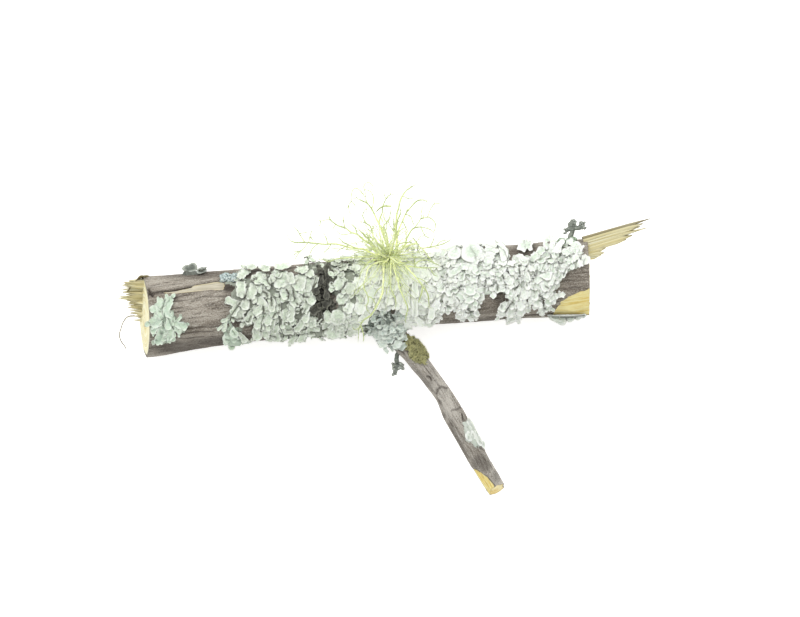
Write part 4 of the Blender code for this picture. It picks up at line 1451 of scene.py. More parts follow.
@dataclass
class Thallus:
    """Lobes gathered on a limb: thin closed sheets with scalloped, curling margins."""

    limb: Limb
    seed: int
    scallop: float = 0.34
    scallop_length: float = 1.7
    curl: float = 1.0
    # shadow scales the painted shade on low lobes, lobe roots, undersides and the carpet; margin_dark is the
    # painted shade along each margin; dark_below is the height under which lobes get painted shade.
    shadow: float = 1.0
    margin_dark: float = 0.4
    longest: float = 99.0
    thickness: float = 0.26
    dark_below: float = 1.0
    finest: float = 0.42
    carpet_from: float = 0.4
    creases: tuple[Crease, ...] = ()
    shape: Shape = field(default_factory=Shape)

    def __post_init__(self) -> None:
        """Starts the random numbers and the lists of sheet points."""
        self.rng = np.random.default_rng(self.seed)
        self.sheets: list[tuple[Array, Array, Array, Array]] = []
        self.made = 0

    def grow(
        self,
        path: Array,
        width: float,
        lift: float,
        rise: float,
        cup: float,
        buds: int,
        tone: float,
        fine: bool = True,
    ) -> None:
        """Adds one lobe.

        Args:
            path: rows of distance along, millimetres round, and height past the limb's outline.
            width: full width.
            lift: height over the bark.
            rise: how much higher its tip is.
            cup: how far its margins curl up.
            buds: how many small lobes grow from its margins.
            tone: which shade it has.
            fine: whether it gets the closer mesh.
        """
        rng = self.rng
        length = float(np.linalg.norm(np.diff(path[:, :2], axis=0), axis=1).sum()) + 1e-6
        rows = int(np.clip(length / (self.finest if fine else self.finest * 1.5), 7, 30))
        columns = 11 if fine and width > 2.1 else 9 if fine else 7
        line = curve_through(path, rows, ease=1.25)
        share = 1 - (1 - np.linspace(0, 1, rows)) ** 1.25
        along = np.gradient(line[:, :2], axis=0)
        along /= np.linalg.norm(along, axis=1, keepdims=True) + 1e-9
        side = np.stack([-along[:, 1], along[:, 0]], axis=1)
        tip = float(np.clip(width / 2 / length, 0.12, 0.6))
        root = float(np.clip(width / 2.6 / length, 0.05, 0.3))
        rounding = np.sqrt(1 - np.clip((share - (1 - tip)) / tip, 0, 0.995) ** 2)
        rounding *= np.sqrt(1 - np.clip((root - share) / root, 0, 0.96) ** 2)
        fullness = 0.5 + 0.42 * smoothstep(0.0, 0.3, share) + 0.22 * smoothstep(0.45, 0.85, share)
        half = width / 2 * fullness * rounding
        run = share * length
        climb, widen = np.gradient(run), np.gradient(half)
        travel = np.hypot(climb, widen) + 1e-9
        outline = np.cumsum(travel)
        reach, pull, flutter = {}, {}, {}
        for sign in (-1, 1):
            step = self.scallop_length * rng.uniform(0.75, 1.3)
            wave = np.abs(np.sin(math.pi * ((outline[-1] - outline) / step + 0.5)))
            wobble = flat_bumps(run * 0.4, np.full_like(run, self.made * 3.1 + sign), self.seed)
            dent = self.scallop * width * 0.46 * (1 - wave**0.6)
            reach[sign] = np.maximum(half * (1 + 0.3 * wobble) - dent * climb / travel, 0.04 * width)
            pull[sign] = dent * widen / travel
            flutter[sign] = wave
        across = np.sin(np.linspace(-math.pi / 2, math.pi / 2, columns))[None, :]
        offset = np.where(across < 0, across * reach[-1][:, None], across * reach[1][:, None])
        drawback = np.where(across < 0, pull[-1][:, None], pull[1][:, None]) * np.abs(across) ** 1.5
        edge_wave = np.where(across < 0, flutter[-1][:, None], flutter[1][:, None])
        flat = line[:, None, :2] + side[:, None, :] * offset[..., None]
        flat = flat + along[:, None, :] * drawback[..., None]
        margin = np.abs(across)
        near_tip = smoothstep(1 - tip * 0.75, 1.0, share)[:, None]
        rim = np.maximum(margin, near_tip)
        body = lift * (0.4 + 0.6 * smoothstep(0.0, 0.3, share)) + rise * share**2 + line[:, 2]
        wrinkle = 0.16 * flat_bumps(flat[..., 0] * 0.9, flat[..., 1] * 0.9, self.seed + 5)
        wrinkle += 0.09 * flat_bumps(flat[..., 0] * 2.3, flat[..., 1] * 2.3, self.seed + 6)
        curl = self.curl * (cup * rim**2.4 * min(width, 3.2) * 0.3 + 0.22 * margin**3 * (edge_wave - 0.5))
        top = body[:, None] + curl + wrinkle * (1 - 0.4 * rim)
        bottom = top - self.thickness * (1 - 0.72 * rim**3)
        inner = smoothstep(0.0, 0.16, share)[:, None]
        # Painted shade on lobes that lie low and near each lobe's root, where it comes out from under others.
        painted_shade = 0.85 * (1 - smoothstep(0.1, self.dark_below, top)) + 0.4 * (1 - inner)
        deep = self.shadow * np.clip(painted_shade, 0, 0.9)
        # A thin line of painted shade along the margin.
        deep = np.maximum(deep, self.margin_dark * smoothstep(0.93, 1.0, rim))
        ring_flat = np.concatenate([flat, flat[:, ::-1]], axis=1)
        ring_height = np.concatenate([top, bottom[:, ::-1]], axis=1)
        ring_rim = np.concatenate([rim + 0 * top, rim[:, ::-1] + 0 * top], axis=1)
        # The underside takes painted shade too.
        ring_deep = np.concatenate([deep, 0.35 * self.shadow + 0 * top], axis=1)
        under = np.concatenate([0 * top, 1 + 0 * top], axis=1)
        under[:, columns] = under[:, -1] = 0.3
        self._keep(ring_flat, ring_height, ring_rim, ring_deep, under, tone + rng.uniform(-0.25, 0.25))
        for _ in range(buds):
            self._bud(line, along, side, reach, body, width, cup, tone)
        self.made += 1

    def _bud(
        self,
        line: Array,
        along: Array,
        side: Array,
        reach: dict[int, Array],
        body: Array,
        width: float,
        cup: float,
        tone: float,
    ) -> None:
        """Adds a small lobe on the margin of another."""
        rng = self.rng
        at = int(rng.integers(len(line) // 4, len(line) - 1))
        sign = int(rng.choice((-1, 1)))
        start = line[at, :2] + side[at] * sign * reach[sign][at] * 0.45
        lean = math.radians(rng.uniform(15, 75))
        aim = side[at] * sign * math.cos(lean) + along[at] * math.sin(lean)
        size = width * rng.uniform(0.45, 0.8)
        bend = side[at] * rng.uniform(-0.35, 0.35)
        points = [start, start + aim * size * 0.55, start + (aim + bend) * size]
        path = np.column_stack([points, np.zeros(3)])
        lift = body[at] + rng.uniform(-0.25, 0.2)
        self.grow(path, width * rng.uniform(0.4, 0.62), lift, 0.35, cup, 0, tone, fine=False)

    def _keep(self, flat: Array, height: Array, rim: Array, deep: Array, under: Array, tone: float) -> None:
        """Stores one sheet until the creases are known."""
        rows, columns = height.shape
        base = sum(len(sheet[0]) for sheet in self.sheets)
        faces = [grid_faces(rows, columns, wrapped=True)[:, ::-1]]
        half = columns // 2
        for at, flip in ((0, False), (rows - 1, True)):
            left = at * columns + np.arange(half - 1)
            right = at * columns + columns - 1 - np.arange(half - 1)
            cap = np.stack([left, left + 1, right - 1, right], axis=-1)
            faces.append(cap[:, ::-1] if flip else cap)
        marks = np.stack([rim, deep, under, np.full_like(rim, tone)], axis=-1).reshape(-1, 4)
        self.sheets.append((flat.reshape(-1, 2), height.reshape(-1), marks, np.concatenate(faces) + base))

    def drawn(self, lobe: Lobe) -> None:
        """Adds a lobe that is placed on the drawing."""
        path = np.array([self.limb.under(spot) for spot in lobe.line])
        length = float(np.linalg.norm(np.diff(path[:, :2], axis=0), axis=1).sum())
        parts = int(np.clip(math.ceil(length / self.longest), 1, 3))
        whole = curve_through(path, 6 * parts + 1)
        for part in reversed(range(parts)):
            piece = whole[max(0, 6 * part - 2) : 6 * part + 7]
            sway = self.rng.uniform(-0.35, 0.35) * (parts > 1)
            piece = piece + np.outer(np.linspace(0, 1, len(piece)) ** 2, (sway, sway, 0))
            lift = lobe.lift - 0.3 * part
            width = lobe.width * (1.0 + 0.12 * (parts > 1))
            self.grow(piece, width, lift, lobe.rise, lobe.cup, math.ceil(lobe.buds / parts), lobe.tone)

    def leaf(self, leaf: Leaf) -> None:
        """Adds a level lobe: a thin closed sheet inside its outline, draped over the limb."""
        here = on_drawing(leaf.outline)[:, None]
        before, after, beyond = (np.roll(here, turn, axis=0) for turn in (1, -1, -2))
        t = (np.arange(5) / 5.0)[None, :, None]
        square = (2 * before - 5 * here + 4 * after - beyond) * t**2
        cubic = (3 * here - before - 3 * after + beyond) * t**3
        rim = 0.5 * (2 * here + (after - before) * t + square + cubic).reshape(-1, 2)
        middle = rim.mean(axis=0)
        share = np.array((0.02, 0.3, 0.55, 0.76, 0.9, 1.0))
        flat = middle + (rim - middle) * share[:, None, None]
        gap = np.linalg.norm(self.limb.centre[:, :2] - middle, axis=-1)
        level = self.limb.centre[int(np.argmin(gap)), 2] + leaf.level
        top = np.maximum(level, self.limb.roof(flat, leaf.lift)) + leaf.dome * (1 - share[:, None] ** 2)
        top = top + 0.2 * flat_bumps(flat[..., 0] * 1.1, flat[..., 1] * 1.1, self.seed + 5)
        dark, sunk = self._pressed(flat)
        top = top - sunk
        bottom = top - self.thickness * (1 - 0.7 * share[:, None] ** 3)
        flat = np.concatenate([flat, flat[::-1]])
        places = np.concatenate([flat, np.concatenate([top, bottom[::-1]])[..., None]], axis=-1)
        rings, count = places.shape[:2]
        edge = np.repeat(np.concatenate([share, share[::-1]]), count)
        below = np.repeat(np.concatenate([0 * share, 0.8 + 0 * share]), count)
        # Painted shade in the creases, along the margin and on the underside.
        margin = np.where(share > 0.99, self.margin_dark, 0.0)[:, None]
        deep = np.concatenate([np.maximum(dark, margin), 0.3 * self.shadow + 0 * dark]).reshape(-1)
        faces = grid_faces(rings, count, wrapped=True)
        grain = places + leaf.tone * 9.0
        self.shape.add(places, faces, grain, edge=edge, deep=deep, bare=below, tint=leaf.tone)
        self.shape.cap(rings, count, first_turned=False)

    def _pressed(self, flat: Array) -> tuple[Array, Array]:
        """How much painted shade the creases lay, and how deep they are, at X, Y places."""
        dark, sunk = np.zeros(flat.shape[:-1]), np.zeros(flat.shape[:-1])
        for crease in self.creases:
            line = on_drawing(crease.line)
            if len(line) == 1:
                gap = np.linalg.norm(flat - line[0], axis=-1)
            else:
                gap = distance_to_line(flat, line)
            share = 1 - smoothstep(0.25, 1.0, gap / crease.half_width)
            dark = np.maximum(dark, share * crease.dark)
            sunk = sunk + crease.sink * share
        return dark, sunk

    def scatter(
        self,
        cover: Cover,
        spacing: float,
        flow: float,
        swing: float,
        gaps: tuple[Gap, ...],
        widths: Spot,
        low: float,
    ) -> None:
        """Fills a packed lichen's extent with small lobes, lower ones first.

        Args:
            cover: where the lichen is and how high.
            spacing: millimetres between lobes.
            flow: degrees round from the limb's direction in which lobes point.
            swing: how far each may turn from that.
            gaps: bare places.
            widths: narrowest and widest.
            low: the share of the lichen's height at which the lowest lobes lie.
        """
        rng = self.rng
        spots = []
        for distance in np.arange(cover.at[0], cover.at[-1], spacing):
            radius = float(self.limb.girth(np.array(distance)))
            for run in np.arange(-math.pi * radius, math.pi * radius, spacing):
                aside = rng.uniform(-0.5, 0.5, 2) * spacing
                spots.append((distance + aside[0], run + aside[1]))
        spots = np.array(spots)
        around = 90 + np.degrees(spots[:, 1] / self.limb.girth(spots[:, 0]))
        high = cover.over(spots[:, 0], around)
        flat = self.limb.place(spots[:, 0], around)[:, :2]
        keep = high > 0.3
        for gap in gaps:
            keep &= (gap.share(flat) > 1.0) | (np.sin(np.radians(around)) < -0.1)
        level = rng.uniform(low, 0.85, len(spots))
        for index in np.argsort(level):
            if not keep[index]:
                continue
            turn = math.radians(flow + rng.uniform(-swing, swing))
            aim = np.array((math.cos(turn), math.sin(turn)))
            bend = np.array((-aim[1], aim[0])) * rng.uniform(-0.8, 0.8)
            width = rng.uniform(*widths)
            size = width * rng.uniform(1.3, 2.1)
            start = spots[index] - aim * size * 0.5
            points = [start, start + (aim + bend * 0.3) * size * 0.5, start + (aim + bend) * size]
            path = np.column_stack([points, np.zeros(3)])
            lift = min(high[index], 3.4) * level[index]
            rise, cup, tone = rng.uniform(0.1, 0.6), rng.uniform(-0.1, 0.9), rng.uniform(0.2, 0.8)
            self.grow(path, width, lift, rise, cup, 1, tone, fine=False)

    def carpet(
        self, cover: Cover, gaps: tuple[Gap, ...], share: float = 0.42, bare: Array | None = None
    ) -> None:
        """Adds the low crust from which the lobes grow, coloured all over with painted shade.

        Args:
            cover: where the lichen is and how high.
            gaps: bare places.
            share: how much of the lichen's height it takes.
            bare: where else nothing grows, true or false for each of the cover's heights.
        """
        around = np.broadcast_to(cover.turns, cover.height.shape)
        distance = np.broadcast_to(cover.at[:, None], cover.height.shape)
        flat = self.limb.place(distance, around)[..., :2]
        height = cover.height.copy() if bare is None else np.where(bare, 0.0, cover.height)
        for gap in gaps:
            inside = (gap.share(flat) < 0.9) & (np.sin(np.radians(around)) > -0.1)
            height = np.where(inside, 0.0, height)
        used = height > self.carpet_from
        run = np.radians(around - 90.0) * self.limb.girth(distance)
        ragged = flat_bumps(distance * 0.7, run * 0.7, self.seed + 9)
        used &= (height > 0.6 + self.carpet_from) | (ragged > -0.1)
        top = np.where(used, np.clip(height * share, 0.15, 1.1), -0.4)
        top = top + 0.22 * flat_bumps(distance * 1.1, run * 1.1, self.seed + 8) * used
        rows, columns = top.shape
        quads = grid_faces(rows, columns)[:, ::-1]
        quads = quads[used.reshape(-1)[quads].any(axis=1)]
        places = self.limb.place(distance, around, top)
        places[..., 2] = np.maximum(places[..., 2], 0.0)
        grain = np.stack([distance, run, top], axis=-1)
        kept, corner = np.unique(quads, return_inverse=True)
        # The crust takes painted shade, for the shade between and under the lobes.
        self.shape.add(
            places.reshape(-1, 3)[kept],
            corner.reshape(quads.shape),
            grain.reshape(-1, 3)[kept],
            deep=0.62 * self.shadow,
            tint=0.5,
        )

    def close(self) -> Shape:
        """Presses the creases in and gives all that was gathered."""
        flat = np.concatenate([sheet[0] for sheet in self.sheets])
        height = np.concatenate([sheet[1] for sheet in self.sheets])
        marks = np.concatenate([sheet[2] for sheet in self.sheets])
        faces = np.concatenate([sheet[3] for sheet in self.sheets])
        places = self.limb.lay(flat, height)
        around = flat[:, 1] / self.limb.girth(flat[:, 0])
        upper = np.abs(around) < 1.75
        dark, sunk = self._pressed(places[:, :2])
        # Painted shade in the creases, on the limb's upper side.
        deep = np.maximum(marks[:, 1], dark * upper)
        height = height - sunk * upper
        places = self.limb.lay(flat, height)
        places[:, 2] = np.maximum(places[:, 2], 0.0)
        grain = np.column_stack([flat, height]) + marks[:, 3:4] * 9.0
        self.shape.add(places, faces, grain, edge=marks[:, 0], deep=deep, bare=marks[:, 2], tint=marks[:, 3])
        self.sheets = []
        return self.shape


@dataclass
class ShieldLichen:
    """One leafy lichen on the twig: lobes listed one by one over a scatter of small ones."""

    limb: Limb
    name: str
    node: str
    slot: Slot
    finish: LobeFinish
    seed: int
    rows: str
    spacing: float = 2.2
    flow: float = 95.0
    swing: float = 120.0
    widths: Spot = (1.1, 2.0)
    low: float = 0.25
    scallop: float = 0.4
    longest: float = 99.0
    curl: float = 1.0
    # shadow and margin_dark set the painted shade, as in Thallus.
    shadow: float = 0.8
    margin_dark: float = 0.35

    def build(self) -> None:
        """Builds the lichen's one piece."""
        drawn = read_lichen(self.rows)
        cover = Cover(self.limb, self.node)
        thallus = Thallus(
            self.limb,
            self.seed,
            scallop=self.scallop,
            longest=self.longest,
            curl=self.curl,
            shadow=self.shadow,
            margin_dark=self.margin_dark,
            creases=drawn["creases"],
        )
        thallus.carpet(cover, drawn["gaps"])
        if self.spacing:
            thallus.scatter(cover, self.spacing, self.flow, self.swing, drawn["gaps"], self.widths, self.low)
        for lobe in drawn["lobes"]:
            thallus.drawn(lobe)
        for leaf in drawn["leaves"]:
            thallus.leaf(leaf)
        hand_over(thallus.close(), self.name, self.finish, self.slot, self.node)


# The tables of the lichens hold, after the places of each row and in this order:
#   lobes: width, lift, rise, cup, buds, tone        leaves: level, lift, dome, tone
#   creases: half width, painted shade, depth        gaps: half across, half down, lean
# Each skin's colours: body, another body tone, pale rim with painted highlight, painted shade, underside,
# specks.
GREY_GREEN_SKIN = LobeFinish(
    "grey_green_skin",
    *colours("196,203,188 208,221,200 236,240,230 84,82,74 112,108,98 160,169,155"),
    mottling=0.6,
)
LEFT_ROWS = """
lobes
340,307 338,315 335,324 332,333 | 5.2 1.6 .5 .3 5 .7
328,309 328,318 327,327 | 4.2 1.5 .4 .3 4 .8
343,314 341,323 339,331 | 3.4 1.7 .3 .4 3 .6
331,335 332,340.5 | 2.6 1.8 .6 .6 4
316.6,313.6 315.8,323 | 2 1.6 .3 .5 2 .6
312.3,314 310.6,323 308.6,331 | 3 1.7 .4 .4 3 .6
303.7,325 302,331 297.7,335.4 | 2.6 1.6 .3 .5 3 .6
295.1,327 292.5,333 288.6,337.6 | 2.6 1.6 .3 .5 3 .6
277.4,322 274.4,329 278.7,335.4 | 2.8 1.6 .3 .5 3 .7
275.3,303 274.4,311 270.1,320.5 268.4,328.2 270.4,336.4 | 3 1.8 .4 .4 5 .7
286.5,307 284.8,315.3 287.4,323 289.1,331 | 3 1.8 .4 .4 4 .9
292.5,302 291.7,311 289.1,319 | 3 2 .4
306.3,307 304.6,315.3 300.3,322.2 295.1,327 | 2.6 2 .4 .5 3 .3
316.4,296.6 309.7,301.5 305.4,306.7 301,310.6 | 2.9 2.2 .3 .6 3 .4
309.9,272 310.6,281 308,289.5 304.6,296.3 298.4,304 | 3.1 2 .4 .4 3 .4
302.4,268.6 302.9,277.4 300,285.1 296,292 294.2,299.8 299.4,306.4 | 3.5 2.2 .4 .5 4 .4
318,277.6 316.2,283.4 314,290 | 2 2 .2 .6 1 .1
274.4,287.6 280.5,289.5 287,291 | 3 1.9 .4 .6 3 .6
279,299 285,299.6 290,296.4 | 2.8 2 .4 .6 3 .4
281,267 281.6,275.7 283.6,283.4 288.6,289.8 | 5.4 2.3 .5 .5 5 .9
288.4,276 291.4,282 290.6,288 | 2.8 2.5 .3 .6 2 .1
271.8,310 268.4,318.7 265.8,326.5 262.8,333 | 2.8 1.9 .4 .5 3 .6
255.5,298.8 261.5,303.2 263.4,311 261.8,320.5 260.7,327 | 3 1.9 .3 .4 3 .6
263.2,314.6 257.2,320.5 255,328 256.3,334.6 | 3.1 2.1 .4 .6 4 .7
263.2,306 256.3,310 249.5,313.6 246.4,321 | 2.7 2.3 .4 .6 3 .6
259,296 266.7,296 271.2,303.2 269.3,311 | 2.4 2.5 .4 .6 2 .4
241,305 233,303.4 224.6,300.2 | 2.2 1.6 .5 .6 1 .6
241,305 236,308 231.4,314.6 | 2.8 1.8 .4 .5 2 .8
249,299 241.6,308.4 236.2,318.4 | 3.5 2 .3 .5 2 -.6
269,269 264.4,275 258.1,282.7 252.6,291.2 246.5,300.4 | 3.9 2.2 .4 .5 4
258,282 264.6,285.4 271.4,287.2 | 3 2.4 .4 .6 3 .4
258.4,269.8 249.5,274.4 243.2,279 240.8,286 240.6,299 | 3.2 2.3 .4
343.5,279.4 339,285.4 336.4,291.4 | 4.4 1.9 .3 .4 4 .9
337.3,265 334,273 335.4,279.4 | 3.8 2 .4 .4 3 0
347.4,259 344.2,268.8 341.4,276.4 | 4 2.1 .4 .4 3 0
354.4,284 347,293 338.6,303.4 | 3.6 2 .3 .5 3 .4
303.4,259.8 309.7,263.6 315.4,268.4 | 1.5 2.2 .6 .6 5 1
309,259.6 308.6,264 306,270 | 1.4 2 .4 .6 4 1
231.6,316 225.3,318.7 219.6,320.7 | 1.3 .9 .2 .4 3 1
226.6,317 225.3,323.9 223.2,329.6 | 1.3 .9 .2 .4 3 1
225,322 217.2,328.6 | 1 .8 .2 .4 2 1
235.4,329.6 240.8,332.5 244.6,338 | 2.2 1 .4 .6 3 0
creases
251.5,300 252.4,306.5 | .7
264,291.4 267.6,293.6 268,296.4 | .6
264.2,307 264.6,312.6 | .5
267.4,273 268.2,281 270.6,284.4 | .45
287,289.6 289.4,294 288.8,298 | .5
284.2,303.6 287,301.8 | .45
280,305.6 | .7
279.4,312.6 275,315 273.4,318.6 | .45
281.8,320 281.4,325 | .55
284,323.4 290,323.4 | .3 .7
280.4,333.4 | .6
286,336.6 291,335.4 | .5
257.6,277.6 249.4,282.4 248.2,290 244.8,300 | .42
271.6,288 272,298 272.6,306 | .35 .8
241,303 236.6,309.6 232.6,315
233,318 238.6,320 244,318.6 | .5
252.2,316.4 249.6,322.6 247,322
264.6,316 262.4,323 262,329 | .35 .8
293.8,289 294.6,297 298.4,304.6 301.4,305.8
304.4,293 304,297 310,297.4 | .4 .8
296,312 300.6,312.2 303,309 | .5
296,323 302,318 306.6,309 | .35 .7
331.4,298.6 338,293.6 341.6,289.6 346.4,283.6 | .42
340.4,292 | .7
337.4,306.4 344,305.6 350,303.4 | .5
346.6,305 350,312 347.4,320 | .7 .75
311,333.4 319,333.6 327.6,330 | .6
286,336.8 297,335.6 309,334 | .35 .8
270.4,336 276,337.6 | .4 .8
317,270.4 | .55
313,289.4 314.6,283 316.4,278 | .3 .7
gaps
235,323 | 9.5 5.4 -8
247,327.6 | 5 4.4
252,338.4 | 12 3.6 4
296.4,277 | 3.6 9.5 12
262,268 | 14 2.2 6
300,264.5 | 9 3.2 6
229.5,288 | 7 4
228,296 | 6 5
323,291 | 8 21 6
"""


def left_lichen(limb: Limb) -> ShieldLichen:
    """The grey-green lichen on the left half: broad ribbons that run down the twig."""
    return ShieldLichen(
        limb, "left_shield_lobes", "shield_lichen_left", Slot.GREY_GREEN, GREY_GREEN_SKIN, seed=41,
        rows=LEFT_ROWS,
        spacing=2.5, flow=100.0, swing=75.0, scallop=0.34, longest=6.5, shadow=0.85,
    )


WHITE_GREEN_SKIN = LobeFinish(
    "white_green_skin",
    *colours("238,242,234 208,220,204 253,253,250 98,98,89 202,202,192 196,209,193"),
    mottling=0.55,
)
RIGHT_ROWS = """
lobes
452,258 446,268 440,277.6 | 3.6 1.6 .5 .6
440,258 437,266 433.6,275 | 3.2 1.6 .4 .6 3 .6
458,264 453,275 446,287 | 3.4 1.7 .5 .6 4 .3
467,266 462,277 455,288.6 | 3.2 1.8 .5 .6 4 .4
446,281 440,291 435,302 430.6,313 | 3.6 1.6 .5 .6 6 .2
440,298 434,308 431.4,319.6 | 2.9 1.8 .4 .7 5 0
444,300 438,308 436.6,315 | 2.2 1.6 .4 .7 4 0
453,288 447.6,297 450.6,307.4 | 3 1.8 .5 .8 4 .4
478,270 474,280 469,291 | 3.4 1.7 .5 .5 4 .6
471,286 469.4,296 471.6,306 | 4.6 1.9 .5 .6 5 .9
466,300 461,307 458.6,315.4 | 2.8 2 .4 .7 4 0
473,301 475.6,307 478,312 | 2 1.8 .5 .6 2 .1
464,306 468,313 473,316 | 2.2 2.1 .4 .7 3 0
487,266 488,276 486,286.6 | 3.2 1.8 .4 .6 4
495,272 497.6,282 494.6,291.6 | 3.1 2 .4 .6 3 .6
501,262 500,272 493.6,281 | 3.4 2 .4 .6 4 .4
509,262 510,273 504,284 | 3.2 2.1 .4 .6 4 .4
508,282 508.6,292 513,301 | 2.8 1.7 .4 .7 4 .1
504,299 499.6,306 499.4,313.4 | 2.8 1.6 .5 .7 4 .2
512,296 509,306 511,317.4 | 3.2 1.8 .5 .7 4 .3
517,296 520.4,305.6 515.4,316 | 3.2 2 .4 .7 4 .2
521,297 526,303 529,309.4 | 2.2 1.6 .5 .6 3 .2
517,260 518.6,272 514,286 | 3.2 2 .4 .6 4
525,259 526,270 523.6,282 | 3.2 2.1 .4 .6 4 .1
529,280 524.6,288 521.6,296 | 3 2 .4 .7 4 .1
535,267 531,274 530.6,281.6 | 3 2.2 .4 .8 4 .1
537,279 534.6,291 539,303.6 | 4.4 2 .5 .5 6 .9
545,287 549,297 547,308 | 3.2 2 .4 .7 4 .6
541,298 541.6,305 543,312 | 1.7 1.9 .4 .7 3 .2
541,259 542.6,270 540,281 | 4.2 2.1 .4 .5 5 .9
553,260 553,271 549,282 | 3.8 2.1 .4 .5 5 .9
563,259 562,269 557.6,280 | 3.8 2 .4 .5 5 .8
573,259 569.6,266 564,274 | 3.2 1.9 .4 .5 4 .6
547,272 547.6,281 545,289.4 | 4.6 2.5 .4 .6 5 .3
545,292.4 555,293.6 565.6,291.2 | 1.7 2.3 .5 .6 2 .2
556,291 554.4,300 | 1.3 2.2 .4 .6 1 .2
531,263.6 543.6,254.4 554.6,249.8 | 2.9 2.4 .4 .7 1 .9
558,264 554.6,256 553,248 551,242.6 | 1.5 2.6 .5 .7 4 .3
556,259 561,261.4 560,266 | 2.6 2.2 .3 .9 1 1.4
564,259 571,255 579,253.6 | 2.2 2.2 .4 .5 4 .9
572,264 578.4,259 580,251.6 | 2 2.3 .4 .7 2 0
577,268 583.6,264.6 590,260.6 | 2.4 2.2 .3 .7 2 0
474,268 478,261 482,256 | 3 2.6 .3 .7 2 0
486,268 489.6,260 490.4,252.6 | 3.4 2.3 .4 .7
484,262 488,255 486.6,250.4 | 1.6 1.8 .4 .7 2 .3
441,316.6 432,316 426.6,311 | 2 1.8 .4 .7 3 0
leaves
462,259 461.4,251 464,244.6 469,240.6 474.6,241 479,245 482,251 481.6,258 472,263 | 2 2.4 .8 1.3
494,241.6 497,239.6 501.6,242.4 505.4,247 507.8,253 506.4,260 501.4,262 499,254 498,246.6 | 2.2 2.2 .5 .5
516.4,249.6 517.6,245.4 516.8,241.6 520.2,241 521.4,237.8 525,239.8 527.4,237.2 529.4,240 533,239.4
 533.4,243 531.6,246 532.4,250 529,251 526.6,248.6 524,252.6 520.4,250.6 | 2.4 1.6 .5 1
543.4,247.4 542.8,241 544.8,236.6 548.2,235.4 550.6,238 549.6,240.4 547,240.6 547,245 548,248.6 545.6,250 |
 2.6 2.4 .4 .8
552.6,253 554.6,246 558.2,241.6 562.6,239.6 564.4,242.4 561,247 560,253 | 2.2 2.6 .4 .2
447,256 450,250 455.6,247.4 461,250 460,257 453,260 | 1.6 2 .5 .7
creases
437,277.6 441.4,277.4 444,273 | .5
434,280.4 429.6,281 | .4 .8
442.3,290 442.9,286.2 446.7,284 448.4,285.2
450.6,293 452.1,290.5 459.7,287.3 461.6,284.8 | .42
468.6,310 | .85
465,312.6 468,314 471.6,312 | .35
447,302 446,305.4 449.6,308 | .35
476,268 480.4,264.4 | .35 .8
490,269 495.6,266.6 | .35 .8
485.8,280.6 484,287.4 | .45
502,275.4 503.2,278.6 499.8,280.8 | .42
495.5,281.6 492.4,285.6 488,286 | .4 .8
484.6,288.4 483,293 | .4 .7
497.4,286.6 496.4,291 | .5
518.2,268.4 519.4,275.4 516,279.7 519.3,284 514.8,289.8 | .36
526,285.6 | .5
525.8,266.7 | .55
530.2,261
513.9,301.2 509.6,305.4 505.2,312.4 | .42
511.4,302 514,304 512,306 | .35
501.6,305.4 500,309 | .35 .8
544.4,286.2 547.6,289 | .45
544.4,309.4 | .8
540,301 543.6,303.6 543,307 | .35
531.4,279 534.6,277 532.6,273.4 529.4,276 | .28 .7
534.6,262 545,256.4 552.6,252.4 | .3 .5 .3
555.6,262 560.6,263.4 562,258 | .6 .6
470,247 474,253 476,260 | .4 .4
497.6,246 504,251 506.4,258 | .32 .6 .4
524.6,240 523.6,244 525,247.4 | .3 .45 .4
529.4,241.6 528.6,245.4 | .3 .4 .4
544,268.6 544.4,276 | .35 .6
556.6,268 556.4,277 | .35 .6
565,268 562.4,275.6 | .35 .6
536.6,268 535.4,278 | .35 .6
533,288 533.6,297 | .35 .55
538,290 541,299 | .3 .5
gaps
440,318 | 17 6.4
484,315 | 14 9
536,314 | 18 8
505,324 | 78 9
570,243 | 11 5
493,306 | 19 14
536,308 | 25 11
447,314 | 14 8
528,250 | 19 8
488,307 | 10.5 12 8
502,296.6 | 6.4 5.6
516,252.4 | 10 7 -10
537,246.6 | 9 5
488.6,249.4 | 7.6 4
536,313 | 13 7.6
574,283 | 17 13 24
562,305 | 14 12
583,250 | 7 7
446,316 | 9 6
480,318 | 30 4
456.6,312 | 3.6 5
"""


def right_lichen(limb: Limb) -> ShieldLichen:
    """The whitish lichen on the right half: short scalloped lobes with rolled white rims."""
    return ShieldLichen(
        limb, "right_shield_lobes", "shield_lichen_right", Slot.WHITE_GREEN, WHITE_GREEN_SKIN,
        seed=52, rows=RIGHT_ROWS,
        spacing=2.5, flow=95.0, swing=150.0, widths=(1.7, 3.0), scallop=0.42, longest=3.6, curl=0.75,
        shadow=0.22, low=0.4,
    )


